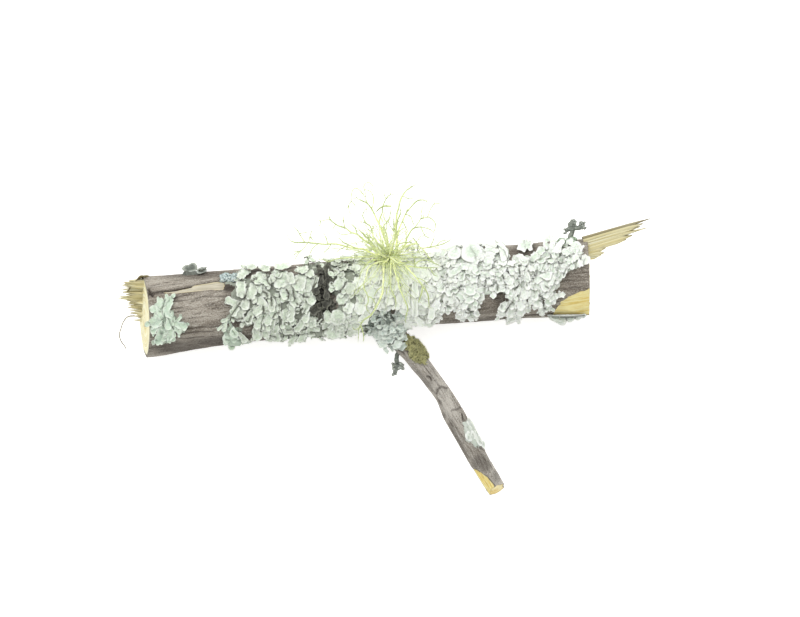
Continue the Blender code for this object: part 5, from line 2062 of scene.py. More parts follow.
PALE_GREEN_SKIN = LobeFinish(
    "pale_green_skin",
    *colours("242,246,236 226,235,220 252,253,249 150,156,142 204,205,192 216,226,210"),
)
MIDDLE_ROWS = """
lobes
372,250 367,262 361,276 355.6,288 353.6,296.6 | 3.4 1.5 .4 .4 2 .4
364,254 358.6,264 356,276 | 3 1.8 .4 .7 2
374,264 368,282 362,299 356,315 352,330 | 3.6 1.5 .4 .4 2 .4
379,266 374,286 368.6,304 363,322 | 3.4 1.8 .3 .4 2 .6
385,268 382,288 377,308 | 3.2 1.6 .3 .4 2
391,268 393,286 388.6,304 | 3.4 1.8 .4 .6 1 .2
399,268 402,288 401,307 399.6,319 | 3.7 1.6 .3 .4 2 .3
407,268 411,288 411.6,306 409.6,319 | 3.8 1.8 .3 .4 2
415,268 419.6,287 420.6,304 418,318 | 3.8 1.7 .3 .4 2 .7
423,266 428,284 428.6,302 424.6,315 | 3.4 1.6 .3 .5 2 .3
430,262 436,274 437.6,286 | 3.4 1.7 .3 .5 2 .1
426,257 435,261 443,268 | 3 1.8 .4 .5 2 .2
402,262 414,259 426,258 | 3 1.9 .4 .5 2 .4
386,262 376,254 365,250 | 3 1.7 .4 .5 2 .4
398,256 408,252 420,249 | 2.8 1.5 .4 .5 2 .3
384,256 378,250 372,247 | 2.8 1.4 .4 .5 2 .3
352,300 347,314 345,328 | 2.8 1.4 .4 .5 2 .6
404,276 407,292 407,306 | 2.4 2.3 .3 .5 0 .2
415,280 416,296 414.6,312 | 2.4 2.3 .3 .5 0 .4
creases
353.6,273 356.6,270.6 359.4,273.6 356.6,276.8 | .3 .7
351,290 352.4,296.4 358,296
424.6,317.6 | .5
371,268 365,286 358,303 | .3 .55
380,272 377,290 371.6,308 | .3 .55
405,276 406.6,296 405.6,314 | .3 .25 .4
413,280 415.6,298 414,318 | .3 .2 .4
421,282 424,300 421.6,317 | .3 .2 .4
385,297.6 384,303 386,307 | .35 .7
393.6,297 395,304 | .35 .7
430,286 432,294 430.6,301 | .35 .7
gaps
383,330 | 10 12
448,320 | 14 12
422,330 | 30 10
"""


def middle_lichen(limb: Limb) -> ShieldLichen:
    """The pale lichen under the beard: long smooth folds that hang down the twig."""
    return ShieldLichen(
        limb, "middle_shield_lobes", "shield_lichen_middle", Slot.PALE_GREEN, PALE_GREEN_SKIN,
        seed=63, rows=MIDDLE_ROWS,
        spacing=2.6, flow=95.0, swing=80.0, widths=(1.8, 3.4), scallop=0.26, longest=6.5, curl=0.6,
        shadow=0.15, low=0.45,
    )


# ---------------------------------------------------------------- small lichens


MINT_SKIN = LobeFinish(
    "mint_skin",
    *colours("206,221,200 190,209,190 232,240,226 96,104,92 126,128,112 174,194,174"),
)
BLUE_GREY_SKIN = LobeFinish(
    "blue_grey_skin",
    *colours("210,219,207 194,207,198 236,242,234 102,109,104 136,139,130 150,166,161"),
)
PALE_CRUST_SKIN = LobeFinish(
    "pale_crust_skin",
    *colours("224,228,220 204,213,201 242,244,239 126,128,120 176,176,166 196,204,194"),
)
DARK_SKIN = LobeFinish(
    "dark_grey_skin",
    *colours("138,142,133 112,117,111 186,191,182 58,58,54 92,90,84 86,90,85"),
)
BLACK_SKIN = LobeFinish(
    "black_skin",
    *colours("74,74,67 58,58,53 118,118,108 28,27,25 44,42,38 40,39,36"),
    roughness=0.7,
)


CUT_END_ROWS = """
lobes
163,318 158.4,322.6 152.6,332 | 2.1 .9 .4 .5 3 .6
164,320 157,322 148.6,320.6 | 3.2 .9 .4 .5 4 .8
163,320 155.9,309.6 152.8,313.6 | 2.6 1 .4 .5 3 .4
162,318 160,308 163.2,300.2 | 2.8 1 .4 .5 4 .2
165,318 167.6,307.6 171.4,298.6 | 2.9 1.1 .5 .5 4 .6
165,322 161,332 157.8,342.4 | 3.2 .9 .4 .5 5 .8
166,322 170.6,331 167.2,337.8 | 3 1 .4 .5 4
167,318 178,324 187.6,325 | 2.5 .9 .4 .5 5 .7
175,322 179,318 182.4,316 | 1.4 1 .3 .5 2
174,323 178,328 180,332.4 | 2 .9 .3
164,314 169,315 173,316 | 1.9 1.2 .3 .5 2 .3
167,314 169.6,321 166,328 | 2.3 1.3 .3 .5 2 .4
creases
151.8,327.4 | .7
162.8,333.6 | .6
157.4,340.4
161,312 164.6,306 166.4,300 | .35 .75
165,325 164.6,332 163,337 | .35 .75
170,319 172.6,325 174,328 | .35 .7
"""
LOWER_EDGE_ROWS = """
lobes
230.4,316 227,321 222.4,323.4 | 1.3 .5 .2 .4 3 .6
229,321 230.4,326 228.6,331 | 1.2 .5 .2 .4 3 .6
228,321 224,326 221.4,329.4 | 1 .5 .2 .4 2 .6
leaves
223,337 226,333.4 230,335 234,334.6 238.6,336.6 241,341 239,344.8 235.4,345.6 231,344 226.4,344.4
 223.6,341.4 | .8 .8 .5 .5
229.6,342 234,342 235.2,346 234,349.6 231,350.6 228.4,348.6 228,345.2 | .3 .8 .4 .9
224,340.4 227.4,341 227.8,344.4 225.2,345.8 223.4,343.2 | .4 .6 .3 1.1
230,334 231.4,329.6 234.6,326.4 236.4,329.6 239.4,333 238,337.4 233.6,337.6 | .8 1.4 .5 .1
creases
226,339.4 231,340.4 236,339 | .4 .6
233,330.6 235.4,334 | .35 .5
230.4,345.4 233,346 | .35 .6
gaps
249,338 | 8 14
"""
TORN_END_ROWS = """
lobes
549,316 556,318 563,319.6 | 1.1 .5 .1 .3 1 .9
leaves
547,315 553,314.8 560,314.6 566,315 567,320 565,325 560.4,325.4 555.6,322.6 550.6,319.8 | .5 .6 .4 1.3
564.6,315 570,314.6 575.6,314.8 574.6,319.4 571.6,322.2 567.6,321.8 | .7 .6 .4 .9
573.6,315 578,314.4 582.4,314.6 581.6,318.4 578.4,320.6 575.4,319.6 | .6 .6 .3 .5
581,314.8 584,313.6 586,315 585,317.6 582.6,318.4 | .7 .6 .3 .8
creases
549,316.4 560,317 572,316.8 584,315.4 | .5
566,317 567,321 | .3 .7
575,317 575,320 | .3 .6
gaps
566,317 | 24 5
"""
BLACK_ROWS = """
lobes
327,282 329,275 326.6,270 | 2.2 1.8 .6 .6 2 .4
326,276 321,275.6 316.8,277 | 2.6 1.9 .5 .6 2 .6
329,272 332.6,278 330.6,284.4 | 1.5 2 .5 .6 1 .3
322,276 320.4,282 321.6,288 | 2.4 1.7 .4 .6 2
322,285 317,289.6 315.6,296 | 2.8 1.9 .5 .6
325.6,283 327.4,291 326,300 | 2 1.8 .5 .6
328,296 328,301 323.4,306.4 | 3.6 1.7 .5 .6 3 .6
325,302 317.6,307 310.6,311.4 | 2.6 1.6 .5 .6
318,305 320.4,312 321.4,319 | 1.9 1.5 .5 .6
gaps
324,263 | 16 6
339,304 | 5 14
337,285 | 4 8
"""
FORK_ROWS = """
lobes
384,322 376,324 367.6,329 | 2.8 1.8 .5 .6 5 .4
382,318 375,314 370.6,318 | 2.2 1.8 .5 .6 4 .6
388,316 384,309 381,311 | 2.2 2 .6 .6 4 .2
390,318 396,311 400.6,314 | 2.4 2 .6 .6 4 .3
creases
388.4,308 390.6,314 | .6
385,316 388.4,320 | .6
391,316 394,322 | .6
"""
FORK_BRANCH_ROWS = """
lobes
388,322 382,328 378,333 | 2.8 1.9 .5 .6 4
390,322 386,332 384,342 | 3 2 .5 .6 4 .4
392,324 393,331 389,338 | 2.4 2.2 .5 .6 4 .6
396,322 397,333 395,345 | 2.2 2 .4 .5 2 .1
399,322 401,330 400,338 | 2.2 1.8 .4 .6 3 .4
creases
397,330 400,336 | .35
389,328 388,335 | .35
"""
SIDE_BRANCH_ROWS = """
lobes
472,433 470,426 468.6,421 | 1.6 .3 .1 .3 1 .2
leaves
466.6,420.6 469.4,418.4 472.6,421.6 475.6,427.6 474,432 470,433 467.6,429 | -.4 .5 .2 .5
474,426.6 478,432.6 482.4,440.4 483.4,445.6 479.6,446.2 476.4,441 473.4,434 | -.4 .6 .2 .2
468,431 473,430.6 476,436 474.6,440.4 469.6,441.6 465.6,438.4 465.2,434 | -.4 .7 .3 .3
480.6,441 484.6,441.6 486,445.8 484.4,449 482,446.8 | -.6 .5 .2
creases
467.6,428.4 | .55
483.4,445 | .4 .6
471,432 469,437 468.6,440 | .25 .5 .2
473,433 473,438 472.6,440.6 | .25 .5 .2
476.6,433 479,438 480,443 | .25 .5 .2
"""
UPPER_EDGE_ROWS = """
lobes
198,272 203,272.4 207,272 | 1.9 .9 .4 .7 2 .6
leaves
182,269 184.6,265.4 189,264.4 192.4,262.4 196.4,264 197.6,268.6 194.4,271.4 187,272 | 1.9 1 .5 1.1
196.6,270.4 200.4,267.4 205.4,268 207,271 202,273.4 198,273.4 | 1.8 .8 .4 1.2
"""


def small_lichens(twig: Limb, side: Limb) -> list[ShieldLichen]:
    """All the small leafy lichens, in order from the sawn end."""
    return [
        ShieldLichen(
            twig, "cut_end_lobes", "cut_end_rosette", Slot.MINT, MINT_SKIN, seed=71, rows=CUT_END_ROWS,
        ),
        ShieldLichen(
            twig, "lower_edge_lobes", "lower_edge_rosette", Slot.MINT, MINT_SKIN, seed=72,
            rows=LOWER_EDGE_ROWS, spacing=0.0, shadow=0.6,
        ),
        ShieldLichen(
            twig, "torn_end_lobes", "torn_end_fringe", Slot.MINT, PALE_CRUST_SKIN, seed=73,
            rows=TORN_END_ROWS, spacing=0.0, curl=0.5, shadow=0.4,
        ),
        ShieldLichen(
            twig, "black_lobes", "black_lichen", Slot.BLACK, BLACK_SKIN, seed=74, rows=BLACK_ROWS,
            widths=(1.2, 1.9),
        ),
        ShieldLichen(
            twig, "fork_lobes", "fork_lichen", Slot.BLUE_GREY, BLUE_GREY_SKIN, seed=75, rows=FORK_ROWS,
            longest=2.6, swing=160.0, shadow=0.5,
        ),
        ShieldLichen(
            side, "fork_branch_lobes", "fork_lichen", Slot.BLUE_GREY, BLUE_GREY_SKIN, seed=76,
            rows=FORK_BRANCH_ROWS, longest=2.6, swing=160.0,
        ),
        ShieldLichen(
            side, "side_branch_lobes", "side_branch_lichen", Slot.BLUE_GREY, PALE_CRUST_SKIN, seed=77,
            rows=SIDE_BRANCH_ROWS, spacing=0.0, curl=0.5, shadow=0.4,
        ),
        ShieldLichen(
            twig, "upper_edge_lobes", "upper_edge_flake", Slot.DARK, DARK_SKIN, seed=78,
            rows=UPPER_EDGE_ROWS, spacing=0.0,
        ),
    ]


@dataclass
class WartyCrust:
    """A small crust of round warts, where a packed crust lies."""

    limb: Limb
    node: str
    name: str
    slot: Slot
    finish: LobeFinish
    seed: int
    warts: int = 150

    def build(self) -> None:
        """Builds the crust's one piece."""
        rng = np.random.default_rng(self.seed)
        cover = Cover(self.limb, self.node, along_step=0.4, turn_step=1.5)
        thallus = Thallus(self.limb, self.seed)
        thallus.carpet(cover, (), share=0.5)
        rows, columns = np.nonzero(cover.height > 0.4)
        for pick in rng.integers(0, len(rows), self.warts):
            distance = cover.at[rows[pick]] + rng.uniform(-0.2, 0.2)
            around = cover.turns[columns[pick]] + rng.uniform(-0.8, 0.8)
            height = cover.height[rows[pick], columns[pick]] * rng.uniform(0.35, 0.95)
            middle = self.limb.place(np.array(distance), np.array(around), height)
            lump(thallus.shape, middle, rng.uniform(0.28, 0.62), rng.uniform(), rng.uniform(0.7, 1.0))
        hand_over(thallus.shape, self.name, self.finish, self.slot, self.node)


@dataclass
class StalkedLobes:
    """Dark stalks with swollen, lobed tips that stand or hang free of the bark."""

    name: str
    node: str
    stalks: tuple[tuple[tuple[Place, ...], float, float], ...]
    heads: tuple[tuple[Place, float, int], ...]
    seed: int

    def build(self) -> None:
        """Builds the stalks, each with its root and tip radius, and their heads of lobes."""
        rng = np.random.default_rng(self.seed)
        shape = Shape()
        for points, root, tip in self.stalks:
            path = curve_through(points, 16)
            share = np.linspace(0, 1, 16)
            rounding = np.sqrt(np.clip(1 - np.clip((share - 0.86) / 0.14, 0, 0.98) ** 2, 0, 1))
            radii = (root + (tip - root) * share) * rounding
            tube(shape, path, radii, 12, rng.uniform(), edge=share * 0.5, lumps=0.22)
        for middle, radius, count in self.heads:
            for _ in range(2 * count):
                spread = np.clip(rng.normal(size=3), -1.2, 1.2) * radius * 0.55
                spread[2] *= 0.6
                lump(shape, np.array(middle) + spread, radius * rng.uniform(0.26, 0.5), rng.uniform())
        hand_over(shape, self.name, DARK_SKIN, Slot.DARK, self.node)


def warty_crusts(twig: Limb) -> list[WartyCrust]:
    """The two small crusts near the upper edge."""
    green = LobeFinish(
        "green_grey_warts",
        *colours("158,178,152 128,150,122 198,212,192 66,74,60 90,88,80 104,128,98"),
    )
    blue = LobeFinish(
        "blue_grey_warts",
        *colours("176,190,188 150,168,170 220,228,224 70,78,78 96,96,92 122,142,146"),
    )
    return [
        WartyCrust(twig, "warty_crust_left", "left_warts", Slot.BLUE_GREY, blue, 81),
        WartyCrust(twig, "warty_crust_right", "right_warts", Slot.CRUST, green, 82),
    ]


def stalked_growths() -> list[StalkedLobes]:
    """The dark stalked lobes on the upper edge and beside the side branch."""
    return [
        StalkedLobes(
            "stalked_dark_lobes",
            "stalked_lobes",
            (
                (((65.2, 35.0, 14.8), (65.9, 37.8, 15.8), (66.6, 39.0, 16.4)), 0.95, 0.8),
                (((66.4, 38.2, 16.0), (65.2, 39.8, 16.6), (66.3, 41.4, 17.2)), 1.0, 0.95),
                (((66.0, 38.4, 16.0), (64.4, 38.2, 16.2), (63.4, 37.4, 16.4)), 0.8, 0.75),
                (((66.6, 38.6, 16.4), (68.4, 38.9, 16.4), (69.8, 40.2, 16.6)), 0.75, 0.8),
            ),
            (((66.2, 40.6, 17.0), 1.3, 9), ((69.5, 39.6, 16.6), 1.5, 10), ((63.8, 37.6, 16.4), 1.1, 7)),
            seed=83,
        ),
        StalkedLobes(
            "dangling_dark_lobes",
            "dangling_lobes",
            (
                (((5.8, -3.4, 10.4), (4.7, -6.2, 10.0), (4.7, -8.9, 9.6)), 0.8, 0.8),
                (((4.6, -8.8, 9.6), (4.4, -10.4, 9.4), (3.9, -12.2, 9.2)), 0.9, 0.85),
            ),
            (((5.9, -9.4, 9.8), 1.4, 9), ((4.0, -9.6, 9.5), 1.4, 8), ((3.7, -11.9, 9.2), 1.1, 7)),
            seed=84,
        ),
    ]


# ---------------------------------------------------------------- moss


@dataclass
class MossCushion:
    """A velvety cushion of moss on the side branch: a mound of small leafy shoots."""

    OUTLINE = spots_in(
        """398.5,334 404,332 408,337.4 416.4,343.6 422.6,350.6 426,357.6 424,363 419,362.6 412.6,358.6
        405.6,352.6 401.4,346.4 400,339.4"""
    )

    limb: Limb
    shoots: int = 1700
    leaflets: int = 6
    seed: int = 91

    def build(self) -> None:
        """Builds the moss's one piece."""
        rng = np.random.default_rng(self.seed)
        cover = Cover(self.limb, "moss_cushion", along_step=0.5, turn_step=4.0)
        thallus = Thallus(self.limb, self.seed)
        places = self.limb.place(cover.at[:, None], cover.turns[None, :])
        ragged = 1.1 * flat_bumps(places[..., 0] * 1.6, places[..., 1] * 1.6, self.seed)
        bare = distance_to_outline(places[..., :2], on_drawing(self.OUTLINE)) + ragged > 0.2
        thallus.carpet(cover, (), share=0.6, bare=bare)
        rows, columns = np.nonzero((cover.height > 0.4) & ~bare)
        for pick in rng.integers(0, len(rows), self.shoots):
            distance = cover.at[rows[pick]] + rng.uniform(-0.25, 0.25)
            around = cover.turns[columns[pick]] + rng.uniform(-2, 2)
            clump = float(flat_bumps(np.array(distance * 1.7), np.array(around * 0.22), self.seed + 4))
            height = min(cover.height[rows[pick], columns[pick]], 2.6) * (0.8 + 0.5 * clump)
            root = self.limb.place(np.array(distance), np.array(around), height * 0.3)
            lean = rng.uniform(-0.9, 0.9, 2)
            tip = self.limb.place(
                np.array(distance + lean[0] * 0.7),
                np.array(around + lean[1] * 6),
                height * rng.uniform(0.8, 1.0),
            )
            self._shoot(thallus.shape, root, tip, clump, rng)
        finish = ThreadFinish("moss_shoots", *colours("92,87,56 158,155,98 228,225,166 60,56,38"))
        hand_over(thallus.shape, "moss_shoots", finish, Slot.MOSS, "moss_cushion")

    def _shoot(self, shape: Shape, root: Array, tip: Array, clump: float, rng: np.random.Generator) -> None:
        """Adds one shoot: thin pointed leaflets round a short axis.

        Args:
            shape: where it is added.
            root: its foot.
            tip: its end.
            clump: from -1 in a hollow between clumps to 1 on top of one.
            rng: the moss's random numbers.
        """
        axis = tip - root
        side = np.cross(axis, (0.3, 0.5, 0.8))
        side /= np.linalg.norm(side)
        other = np.cross(axis, side)
        other /= np.linalg.norm(other)
        # Shoots in the hollows between clumps are duller: partly painted shade, partly random tone.
        tint = float(np.clip(0.45 - 0.5 * clump + rng.uniform(-0.25, 0.25), 0, 1))
        for leaf in range(self.leaflets):
            share = (leaf + rng.uniform(0.2, 0.8)) / self.leaflets
            turn = leaf * 2.4 + rng.uniform(0, 1)
            out = side * math.cos(turn) + other * math.sin(turn)
            base = root + axis * share * 0.8
            reach = base + out * 0.55 + axis / np.linalg.norm(axis) * 0.5
            width = np.cross(out, axis) / np.linalg.norm(axis) * 0.14
            points = np.array([base - width, base + width, base + out * 0.12, reach])
            # deep lays painted shade at each shoot's foot and in the hollows between clumps.
            shape.add(
                points,
                np.array([(0, 2, 1), (0, 1, 3), (1, 2, 3), (2, 0, 3)]),
                points,
                edge=np.array([share, share, share, min(1.0, share + 0.5)]),
                tint=tint,
                deep=float(np.clip(0.6 * (1 - share) - 0.5 * clump, 0, 1)),
            )


# ---------------------------------------------------------------- the beard lichen


@dataclass(frozen=True)
class Thread:
    """A thread of the beard: its line on the drawing and its root radius in millimetres.

    `rise` lifts its middle above the others, and `shade` runs from fresh lime to dull olive.
    """

    line: Line
    radius: float = 0.2
    rise: float = 0.0
    shade: float = 0.4


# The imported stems' routes in millimetres: the first thirteen spread low, the last three stand up.
STEM_ROUTES = """
-1.9,30.1,23.6 -10,32.6,25 -21,33.4,24.4 -32.6,34.4,22
-2,28.2,24.6 -8.4,29.6,29 -18,28.4,30.8 -29.4,27.4,27
-.9,31.8,24.6 -6.4,37,28.4 -13.6,40.6,29.4 -18.8,44.8,27.8
.2,32.2,23.2 -3.4,39.8,24.2 -7,47,23.6 -12.2,51.4,21.4
1.4,32,25 1.8,38.8,29.8 4.4,46,31.6 8.6,51.6,30
2.8,32.4,23.4 5.4,41,23 9.2,48.6,21.4 13.4,54.4,18.4
4.4,31,24 9.8,36.8,26.8 14.8,41.8,27 20,47.6,24.2
5.2,29,24.4 11.2,32.2,28.6 18,34.4,29.8 25.6,36.6,27.8
5.2,27.2,24 12.2,27.4,29.2 19,27.6,31 26.4,26.6,28.8
3.6,25.4,25.6 8.8,20.8,31.6 13.4,14.4,31.8 15.6,9.6,27.6
2,25,26.2 3.4,17,32.8 6.6,10.4,31.2 8.4,5.4,25.2
0,25.4,25.4 -1.8,18.2,31.4 -3.2,11.2,31.4 -6,6.4,26.4
-1.4,26.6,25 -6,20.6,30.6 -8.2,10.2,29.6 -8.8,-.8,21.6
.4,28.4,26.9 -1.8,30.6,34 -4,33.4,40 -7.6,37,44.4
2.6,28.2,27 4,27.2,34.2 6.6,26,41 10,27,46.6
2.4,30.2,26.8 3.6,34,33.4 4.6,38.8,38.4 6,44.4,40.8
"""
# Each thread: its line | radius, rise and shade. A group is a thread from the holdfast and then its
# offshoots in the order they branch; an empty line parts it from the next group.
THREADS = """
373,254 362.7,249.3 351,248.2 340,245.3 332.7,244.2 318,244.2 307,243 296,242.7 289.4,239.4 287.9,234.3 |
 .38 0 .3
304.8,242.3 301.1,235.7 297.5,229.9 293,225.5 | .23 .6 .3
301.9,232 308.5,232.8 | .2 .3 .5
308.5,246.7 309.2,242.3 310.7,235.7 312.9,229.9 | .2 .8 .5
308.5,246.7 303.3,249.7 297.5,251.9 293,250.4 | .2 -.4
299.7,251.5 291.6,257 | .2 -.3
303.3,249.7 298.2,254.8 294.5,261.4 | .2 -.6 .5
310.7,235.7 314.3,241.6 | .2 0 .5
329,242.3 325.3,235.7 323.1,232 | .2 .6
331.9,246 328.3,248.9 323.9,253.3 | .2 -.4
318,244.9 313.6,248.9 309.2,256.3 | .2 -.4

378,249 368.6,243 362.7,239.4 357.6,235 351,232.8 345.9,228.8 339.3,226.6 336.3,224.7 331.9,221 329.7,215.9
 330.1,210 | .38 .6 .3
331.9,221 326.8,220.3 321.7,221.4 316.5,220 | .2 -.3
321.7,221.8 320.2,227.7 | .2 -.4 .5
336.3,225.5 332.7,230.6
345.5,229.1 344.4,224.7 342.2,219.6 | .2 .5 .2
345.9,223.3 343.7,215.2 | .2 .5 .6
357.6,235 355.4,229.1 351,224 | .23 .6 .1
353.2,234.3 345.1,235 340.7,234.3 336.3,231.3 | .2 -.3

376,251 360,249 350,246 343.7,242.3 340,238.7 335.6,237.2 | .27 1 .2
347.3,248.6 340,250 336.3,253.3 | .2 -.3

378,256 362,257 351,257.4 336.3,259.6 330.5,261.4 320.2,259.6 316.5,257 | .3 .2
356.1,251.1 353.2,255.5 351,257.7 | .2 .3 .5

387.7,246 384.7,237.2 383.3,230.6 378.9,223.3 374.5,214.5 372.3,209.3 367.9,204.2 362,201.3 356.9,198.3
 354.7,194.7 | .38 .3 .2
372.3,209.3 373.7,202 373,196.1 370.1,191.7 364.9,190.3 364.2,186.6 367.9,183.3 372.3,185.9 373.7,192.5 | .2
 .9
367.9,203.5 364.9,199.1 365.7,195.4 364.2,187.3 | .2 .4 .7
364.9,197.6 361.3,192.5 358.3,189.5 354.7,188.8 352.5,192.5 351.7,198.3 351.7,201.3 348.8,205.7 346.6,211.5
 | .2 .7 .6
351.7,201.3 353.9,204.2 356.1,207.9 | .2 0 .7
356.9,198.3 352.5,199 | .2 0 .5
348.8,205.7 349.5,211.5 351.7,216.7 | .2 -.4 .5

381,247 374.5,238.7 372.3,229.9 367.1,224 361.3,222.2 359,221 | .31 1.4 .3
367.1,224 362.7,216.7 363.5,213 366.4,209.3 370.1,209 | .2 .8 .5
372.3,229.9 374.5,225.5 375.2,224 | .2 .4
374.5,238.7 369.3,243.8 367.9,238.7 365.7,231.3 | .2 .4 .5

387,246 383,234 380,226 378.9,223.3 382.5,211.5 383.6,205.7 386.2,199.8 390.6,195.4 399.4,194.7 | .3 -.6 .5
386.2,199.8 384.7,196.1 385.5,192.5 | .2 .5 .2
390.6,195.4 392,191.7 | .2 .3 .5

388,247 387.7,245.3 385.5,238.7 384,232.8 384,226.9 386.9,223.3 389.9,218.1 390.6,213 391.3,206.8 | .3 1.8
 .6
391.3,206.8 384,207.1 379.6,209.3 375.9,213 | .41 .6 0
386.9,223.3 383.3,216.7 | .2 .3 .6

393,246 393.5,232 393.5,224 392,215.2 | .22 2.2 .3
393.5,232 390,226 389,220 | .2 .5 .3

396.1,256 397.2,243.9 395.5,232.4 396.6,218.1 398.9,207.1 401.8,198 405.8,192.2 412.1,187.1 416.7,184.2
 420.8,181.6 | .41 .6 .3
404.7,198.5 409.9,199.4 416.7,196.8 | .2 .2
396.6,224 400,215 401,207 | .2 .9

395,252 397.2,237 398.9,229.5 403,220.9 405.8,214 411,207.1 416.7,201.4 422.5,200.3 427.1,202 429.4,204.9 |
 .35 .4 .5
405.8,214 409.9,216.3 412.1,220.4 413.9,225.5 | .23 .6 .1
403,222.1 405.3,226.7 407,231.3 | .23 .4 .2
403,211 407,210 410,212 | .2 .3

394,257 399.5,251.9 404.7,244.5 407.6,237.6 412.1,230.1 414.4,228.4 420.2,227.5 425.9,228.4 428.2,227 | .38
 .4 .2
425.9,228.4 430.5,229.5 433.4,232.4
413.4,228.8 420.2,220.9 420.8,214 | .23 .5 .1
420.4,219.4 423.6,217.5 423.6,214.6 | .2 .3 .2
421,220.4 427.6,217.5 431.7,219.8 434.8,223.8 434.5,229.5 432.8,233.6 432,236.4 | .23 .8 .5
427.6,216.9 430.5,209.4 434,203.7 434.5,200.3 | .2 .7 .1
433.6,204.6 439.7,204.3 440.9,205.4 | .2 .2 .2
420.2,227.6 424.2,235.9 427.6,238.7 | .2 -.2 .5
424.6,236.4 429.9,238.4 | .2 0 .5
416.7,206.6 422.5,205.4

394,256 397.8,246.2 401.2,243.9 406,243 412.1,243.3 414.4,245.6 | .3 2 1

395,256 404,248 414,244 419,246.2 421.3,248.5 424.8,248.5 431.7,246.8 440.3,245 447.7,241.6 454.1,236.4 |
 .32 .9 .6
418,246 415.6,241.6 412.1,237 | .24 .5 .6
437,246 439.7,242.4 447.7,240.2 | .2 .2
421.3,248.5 417.3,252.5 | .2 -.2 .8
421.6,249 425.9,254.8 431.7,261.1 434.5,262.8 | .23 .2
430,247.4 433,240 434,234.7 | .2 .4

388,260 383.8,263.9 383.5,274.1 383.2,286.9 380.6,298.4 376.8,306 371,315 364.7,319.4 360.8,325.2
 358.9,331.5 358.3,342.4 | .38 .4 .3
361.4,324.2 363.4,333.4 363.7,341.7 | .27 .2 .3
364.6,319.6 361.6,322.6 358.3,321.3 | .22 .3 .3
383.2,286.9 378.1,290.1 374.2,296.5 | .22 .3 .6
360,328 355,330 352.4,327 | .2 .2

381,259 372,260 366,265 361,272 358.9,280 | .23 .5 .8
366,265 362,262 358,264 | .2 .2 .5

384,261 376,263 369.8,268 367,274 365,281 364,288 367,294 368.5,301 367,307 369.1,312.4 371.7,315 | .3 .7 .2
367.4,297 372,298 375.5,303.5 374.9,308.6 | .2 .3
364.4,284 360,288 357,295 | .2 .2

391,258 390.8,265.2 390.2,274.1 390.8,286.9 394.6,296.5 395.9,304.7 394.6,309.8 | .3 .4
390.4,280 387,288 386,296 | .2 .3

392,258 394.6,271.6 398.5,281.8 399.7,289.4 404.8,299.6 408,307.9 406.1,315.6 405.5,322.6 | .35 .5 .3
399.7,289.4 402.3,285 404.8,283 | .23 .5 .5

394,258 402,263 408.7,269.7 414.4,276 420.2,283 424.6,288.8 427.8,296.5 428.4,309.2 | .38 .5 .3
416.3,278.2 423.3,280.5 428.4,285.6 | .2 .4 .5
422.6,286.2 421,294.5 418.2,302.8 | .35 .6 0

395,257 398.5,263 407.4,266 420.2,268.4 438,267.8 | .32 .5 .1
414,267.4 418,262.4 426.5,260.7 434.8,263.9 440.6,266.5 | .24 .7 .2
414.4,267.6 414.6,262 415.1,256 | .22 .6 .3
430.4,268.2 432.9,274.8 437.4,276.7 | .2 0 .3
"""


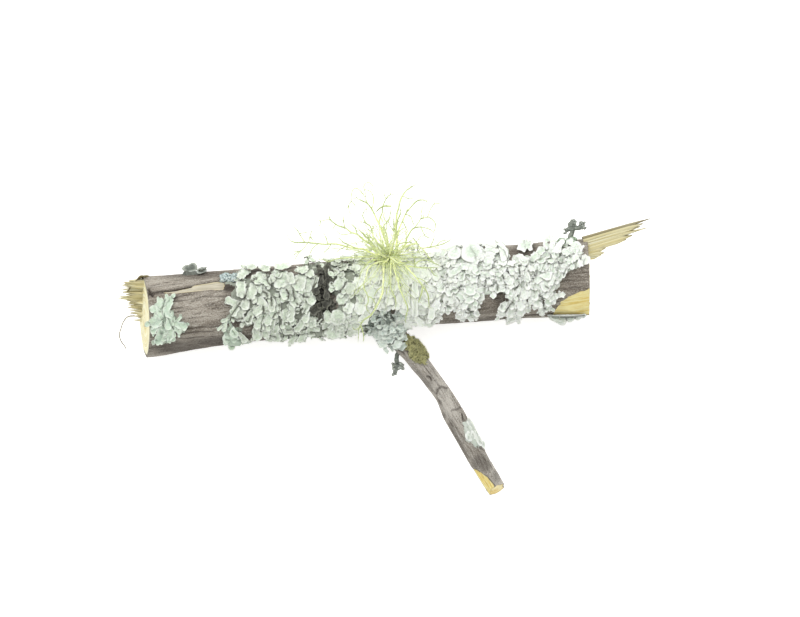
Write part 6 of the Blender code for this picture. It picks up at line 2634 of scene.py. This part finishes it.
@dataclass
class BeardLichen:
    """A tuft of branching threads that springs from one holdfast on the twig's far side."""

    limb: Limb
    heart: Place = (1.6, 28.6, 22.6)
    tip_share: float = 0.6
    step: float = 0.55
    tuft_count: int = 150
    seed: int = 17

    ROUTES = tuple(spots_in(row) for row in rows_in(STEM_ROUTES))
    LOW_ROUTES = 13

    def _canopy(self, places: Array) -> Array:
        """The usual height of the beard over X, Y places, felt from the low stems."""
        weight = 1.0 / (np.linalg.norm(places[..., None, :] - self.known[:, :2], axis=-1) ** 2 + 0.5) ** 2
        height = (weight * self.known[:, 2]).sum(axis=-1) / weight.sum(axis=-1)
        return np.maximum(height, self.limb.roof(places, 2.3))

    def _thread(self, path: Array, radius: float, shade: float, sides: int = 5, first: float = 0.0) -> Array:
        """Adds one thread and gives the points that it follows.

        Args:
            path: its few known points.
            radius: at its root.
            shade: from fresh lime to dull olive.
            sides: how many sides it has.
            first: how far along the beard it starts, 0 at the holdfast to 1 at the tips.
        """
        length = float(np.linalg.norm(np.diff(path, axis=0), axis=1).sum())
        rows = max(5, int(length / self.step))
        fine = curve_through(path, rows)
        share = np.linspace(0, 1, rows)
        waves = [flat_bumps(share * length * 0.35, np.full(rows, self.made * 2.3 + k), 7) for k in range(3)]
        sway = np.stack(waves, -1)
        fine = fine + sway * (0.22 * np.minimum(1, 4 * share))[:, None]
        radii = radius * (1 - (1 - self.tip_share) * share) * np.clip((1 - share) * 5 + 0.25, 0, 1)
        along = first + (1 - first) * share
        tube(self.shape, fine, radii, sides, shade, edge=along, lumps=0.12 if radius > 0.16 else 0.0)
        self.made += 1
        return fine

    def _fibrils(self, path: Array, spacing: float, longest: float) -> None:
        """Adds short side hairs along a thread."""
        length = float(np.linalg.norm(np.diff(path, axis=0), axis=1).sum())
        for _ in range(int(length / spacing)):
            at = int(self.rng.integers(1, len(path) - 1))
            along = path[at] - path[at - 1]
            along /= np.linalg.norm(along) + 1e-9
            out = self.rng.normal(size=3)
            out[2] = abs(out[2]) * 0.6
            out -= along * (out @ along)
            out /= np.linalg.norm(out) + 1e-9
            size = self.rng.uniform(0.4, 1.0) * longest
            bend = along * self.rng.uniform(0.1, 0.9)
            points = path[at] + np.outer((0, 0.4, 0.75, 1.0), out * size)
            points = points + np.outer((0, 0.05, 0.35, 0.8), bend * size)
            radii = np.array((0.1, 0.085, 0.07, 0.045))
            tube(self.shape, points, radii, 3, self.rng.uniform(0, 0.7), edge=0.9)

    def _drawn(self) -> None:
        """Adds the threads that the drawing shows one by one."""
        for group in THREADS.split("\n\n"):
            grown: list[Array] = []
            for number, thread in enumerate(parts_in(Thread, group)):
                flat = on_drawing(thread.line)
                if number == 0:
                    flat = np.vstack([[self.heart[:2]], flat])
                    share = np.linspace(0, 1, len(flat))
                    height = self._canopy(flat) + thread.rise * np.sin(math.pi * share) * 1.2
                    height[0] = self.heart[2] + 0.6
                else:
                    known = np.concatenate(grown)
                    near = known[np.argmin(np.linalg.norm(known[:, :2] - flat[0], axis=1))]
                    flat[0] = near[:2]
                    base = self._canopy(flat)
                    share = np.linspace(0, 1, len(flat))
                    height = near[2] + (base - base[0]) * 0.8 + thread.rise * 1.3 * share
                    height = np.maximum(height, self.limb.roof(flat, 2.2))
                    height[0] = near[2]
                sides, first = (6, 0.0) if number == 0 else (5, 0.6)
                points = np.column_stack([flat, height])
                path = self._thread(points, thread.radius, thread.shade, sides, first)
                grown.append(path)
                self._fibrils(path, 1.5 if number == 0 else 1.9, 1.3)

    def _standing(self) -> None:
        """Adds the stems that stand up off the twig, each with a few forks."""
        for route in self.ROUTES[self.LOW_ROUTES :]:
            path = self._thread(np.vstack([[self.heart], route]), 0.36, 0.3, 6)
            self._fibrils(path, 1.4, 1.4)
            for share in (0.35, 0.5, 0.65, 0.8):
                at = path[int(share * len(path))]
                aim = self.rng.normal(size=3) * (1, 1, 0.4)
                aim = aim / np.linalg.norm(aim) * self.rng.uniform(3.0, 5.5)
                bend = np.array((0, 0, self.rng.uniform(-0.8, 0.6)))
                fork = self._thread(np.array([at, at + aim * 0.5 + bend, at + aim]), 0.2, 0.4, first=0.5)
                self._fibrils(fork, 1.9, 1.1)

    def _tuft(self, count: int) -> None:
        """Adds the dense short lime threads round the holdfast."""
        for _ in range(count):
            turn = self.rng.uniform(0, 2 * math.pi)
            climb = math.radians(self.rng.uniform(8, 70))
            length = self.rng.uniform(2.6, 8.0)
            level = math.cos(climb)
            aim = np.array((math.cos(turn) * level, math.sin(turn) * level, math.sin(climb)))
            start = np.array(self.heart) + self.rng.normal(size=3) * (1.4, 1.2, 0.7)
            side = np.cross(aim, (0, 0, 1)) * self.rng.uniform(-0.35, 0.35)
            tip = start + aim * length - (0, 0, length * 0.16)
            points = np.array([start, start + (aim + side) * length * 0.5, tip])
            points[:, 2] = np.maximum(points[:, 2], self.limb.roof(points[:, :2], 0.6))
            self._thread(points, self.rng.uniform(0.09, 0.17), self.rng.uniform(0.0, 0.6), 4)

    def _spray(self, count: int, turns: Spot, lengths: Spot, lift: Spot, radius: Spot, shades: Spot) -> None:
        """Adds fine threads that spread over or away from the twig.

        Args:
            count: how many.
            turns: the degrees between which they point.
            lengths: shortest and longest.
            lift: lowest and highest over the beard's usual height.
            radius: finest and thickest.
            shades: freshest and dullest.
        """
        for _ in range(count):
            turn = math.radians(self.rng.uniform(*turns))
            length = self.rng.uniform(*lengths)
            share = np.array((0.0, 0.2, 0.45, 0.72, 1.0))
            swing = turn + self.rng.uniform(-0.5, 0.5) * share
            start = np.array(self.heart[:2]) + self.rng.normal(size=2) * (1.6, 1.0)
            flat = start + np.stack([np.cos(swing), np.sin(swing)], axis=-1) * (share * length)[:, None]
            height = self._canopy(flat) + self.rng.uniform(*lift) * np.sin(math.pi * share * 0.8)
            height[0] = self.heart[2] + self.rng.uniform(0.0, 1.5)
            size, shade = self.rng.uniform(*radius), self.rng.uniform(*shades)
            path = self._thread(np.column_stack([flat, height]), size, shade, 4)
            if length > 12:
                at = path[int(len(path) * self.rng.uniform(0.4, 0.75))]
                fork = turn + self.rng.choice((-1, 1)) * self.rng.uniform(0.4, 0.9)
                reach = np.array((math.cos(fork), math.sin(fork))) * self.rng.uniform(2.0, 4.5)
                end = at[:2] + reach
                tip_z = max(at[2] + self.rng.uniform(-0.6, 0.9), float(self.limb.roof(end[None], 2.0)[0]))
                middle = (*(at[:2] + reach * 0.5), (at[2] + tip_z) / 2 + 0.2)
                self._thread(np.array([at, middle, (*end, tip_z)]), 0.1, 0.5, 4, 0.5)

    def _holdfast(self) -> None:
        """Adds the knob that roots the threads in the bark."""
        heart = np.array(self.heart)
        foot = self.limb.place(np.array(heart[0]), np.array(36.0), -0.6)
        path = curve_through(np.array([foot, (foot + heart) / 2, heart + (0, 0, 1.2)]), 12)
        share = np.linspace(0, 1, 12)
        radii = (2.6 - 1.1 * share) * np.sqrt(1.02 - share**4)
        tube(self.shape, path, radii, 18, 0.4, deep=0.3, lumps=0.25)

    def build(self) -> None:
        """Builds the beard's one piece."""
        self.shape = Shape()
        self.rng = np.random.default_rng(self.seed)
        self.made = 0
        low = self.ROUTES[: self.LOW_ROUTES]
        self.known = np.concatenate([curve_through(np.array(route), 30) for route in low])
        self._holdfast()
        self._drawn()
        self._standing()
        self._tuft(self.tuft_count)
        self._spray(34, (-165, -15), (8, 21), (-0.4, 2.2), (0.08, 0.12), (0.0, 0.5))
        self._spray(60, (-10, 190), (8, 22), (-1.0, 2.5), (0.1, 0.15), (0.3, 1.0))
        hues = colours("250,255,190 238,248,188 174,186,134 184,196,150")
        finish = ThreadFinish("beard_threads", *hues, soft=0.6)
        nodes = [f"beard_stem_{number:02d}" for number in range(1, len(self.ROUTES) + 1)]
        hand_over(self.shape, "beard_threads", finish, Slot.BEARD, "beard_holdfast", *nodes)


# ---------------------------------------------------------------- stage


@dataclass
class Studio:
    """A pale floor, soft light and the camera that looks straight down."""

    lens: float = 300.0
    sensor: float = 36.0
    drawing_width: float = 800.0
    focus_height: float = 13.0
    floor_glow: float = 0.55
    floor_half: float = 3.0
    daylight: Colour = (0.985, 1.0, 0.965, 1.0)
    daylight_strength: float = 0.62

    def build(self) -> None:
        """Sets up world, floor, lights and camera."""
        scene = bpy.context.scene
        scene.view_settings.view_transform = "Standard"
        world = bpy.data.worlds.new("soft_daylight")
        world.use_nodes = True
        sky = world.node_tree.nodes["Background"]
        sky.inputs["Color"].default_value = self.daylight
        sky.inputs["Strength"].default_value = self.daylight_strength
        scene.world = world
        self._floor()
        self._lamp("key", (-0.30, 0.42, 0.85), 0.7, 6.0)
        self._lamp("fill", (0.6, 0.2, 0.8), 0.9, 2.0)
        self._camera()

    def _floor(self) -> None:
        """A wide near-white floor just under the twig."""
        mesh = bpy.data.meshes.new("floor")
        half = self.floor_half
        corners = [(-half, -half, 0), (half, -half, 0), (half, half, 0), (-half, half, 0)]
        mesh.from_pydata(corners, [], [(0, 1, 2, 3)])
        floor = bpy.data.objects.new("floor", mesh)
        floor.location.z = -0.05 * MM
        bench = Bench("white_card")
        powder = bench.noise(bench.node("ShaderNodeTexCoord").outputs["Object"], 900.0, 2.0)
        colour = bench.lay((0.93, 0.93, 0.925, 1.0), (0.95, 0.95, 0.945, 1.0), powder, 0.3, 0.7)
        card = bench.close(colour, 0.9, bench.relief(powder, 0.05, 0.05))
        shader = next(node for node in card.node_tree.nodes if node.type == "BSDF_PRINCIPLED")
        shader.inputs["Emission Color"].default_value = (1.0, 1.0, 1.0, 1.0)
        shader.inputs["Emission Strength"].default_value = self.floor_glow
        floor.data.materials.append(card)
        bpy.context.scene.collection.objects.link(floor)

    def _lamp(self, name: str, place: Place, size: float, power: float) -> None:
        """A square soft light aimed at the twig."""
        light = bpy.data.lights.new(name, "AREA")
        light.size, light.energy = size, power
        lamp = bpy.data.objects.new(name, light)
        lamp.location = place
        lamp.rotation_euler = (-Vector(place)).to_track_quat("-Z", "Y").to_euler()
        bpy.context.scene.collection.objects.link(lamp)

    def _camera(self) -> None:
        """The camera: the whole drawing's width in view, from straight above."""
        data = bpy.data.cameras.new("camera")
        data.lens, data.sensor_width = self.lens, self.sensor
        data.sensor_fit = "HORIZONTAL"
        width = self.drawing_width * MM_PER_PIXEL * MM
        distance = width * self.lens / self.sensor
        camera = bpy.data.objects.new("camera", data)
        x, y = from_drawing(DRAWING_MIDDLE)
        camera.location = (x * MM, y * MM, distance + self.focus_height * MM)
        data.clip_start, data.clip_end = 0.01, 20.0
        bpy.context.scene.collection.objects.link(camera)
        bpy.context.scene.camera = camera


def main() -> None:
    """Builds every piece of the twig in order and reports each."""
    logging.basicConfig(level=logging.INFO, format="%(message)s")
    Studio().build()
    twig, side = twig_limb(), side_limb()
    MainTwig(twig).build()
    SideBranch(side).build()
    left_lichen(twig).build()
    middle_lichen(twig).build()
    right_lichen(twig).build()
    for lichen in small_lichens(twig, side):
        lichen.build()
    for crust in warty_crusts(twig):
        crust.build()
    for lobes in stalked_growths():
        lobes.build()
    MossCushion(side).build()
    BeardLichen(twig).build()


if __name__ == "__main__":
    main()
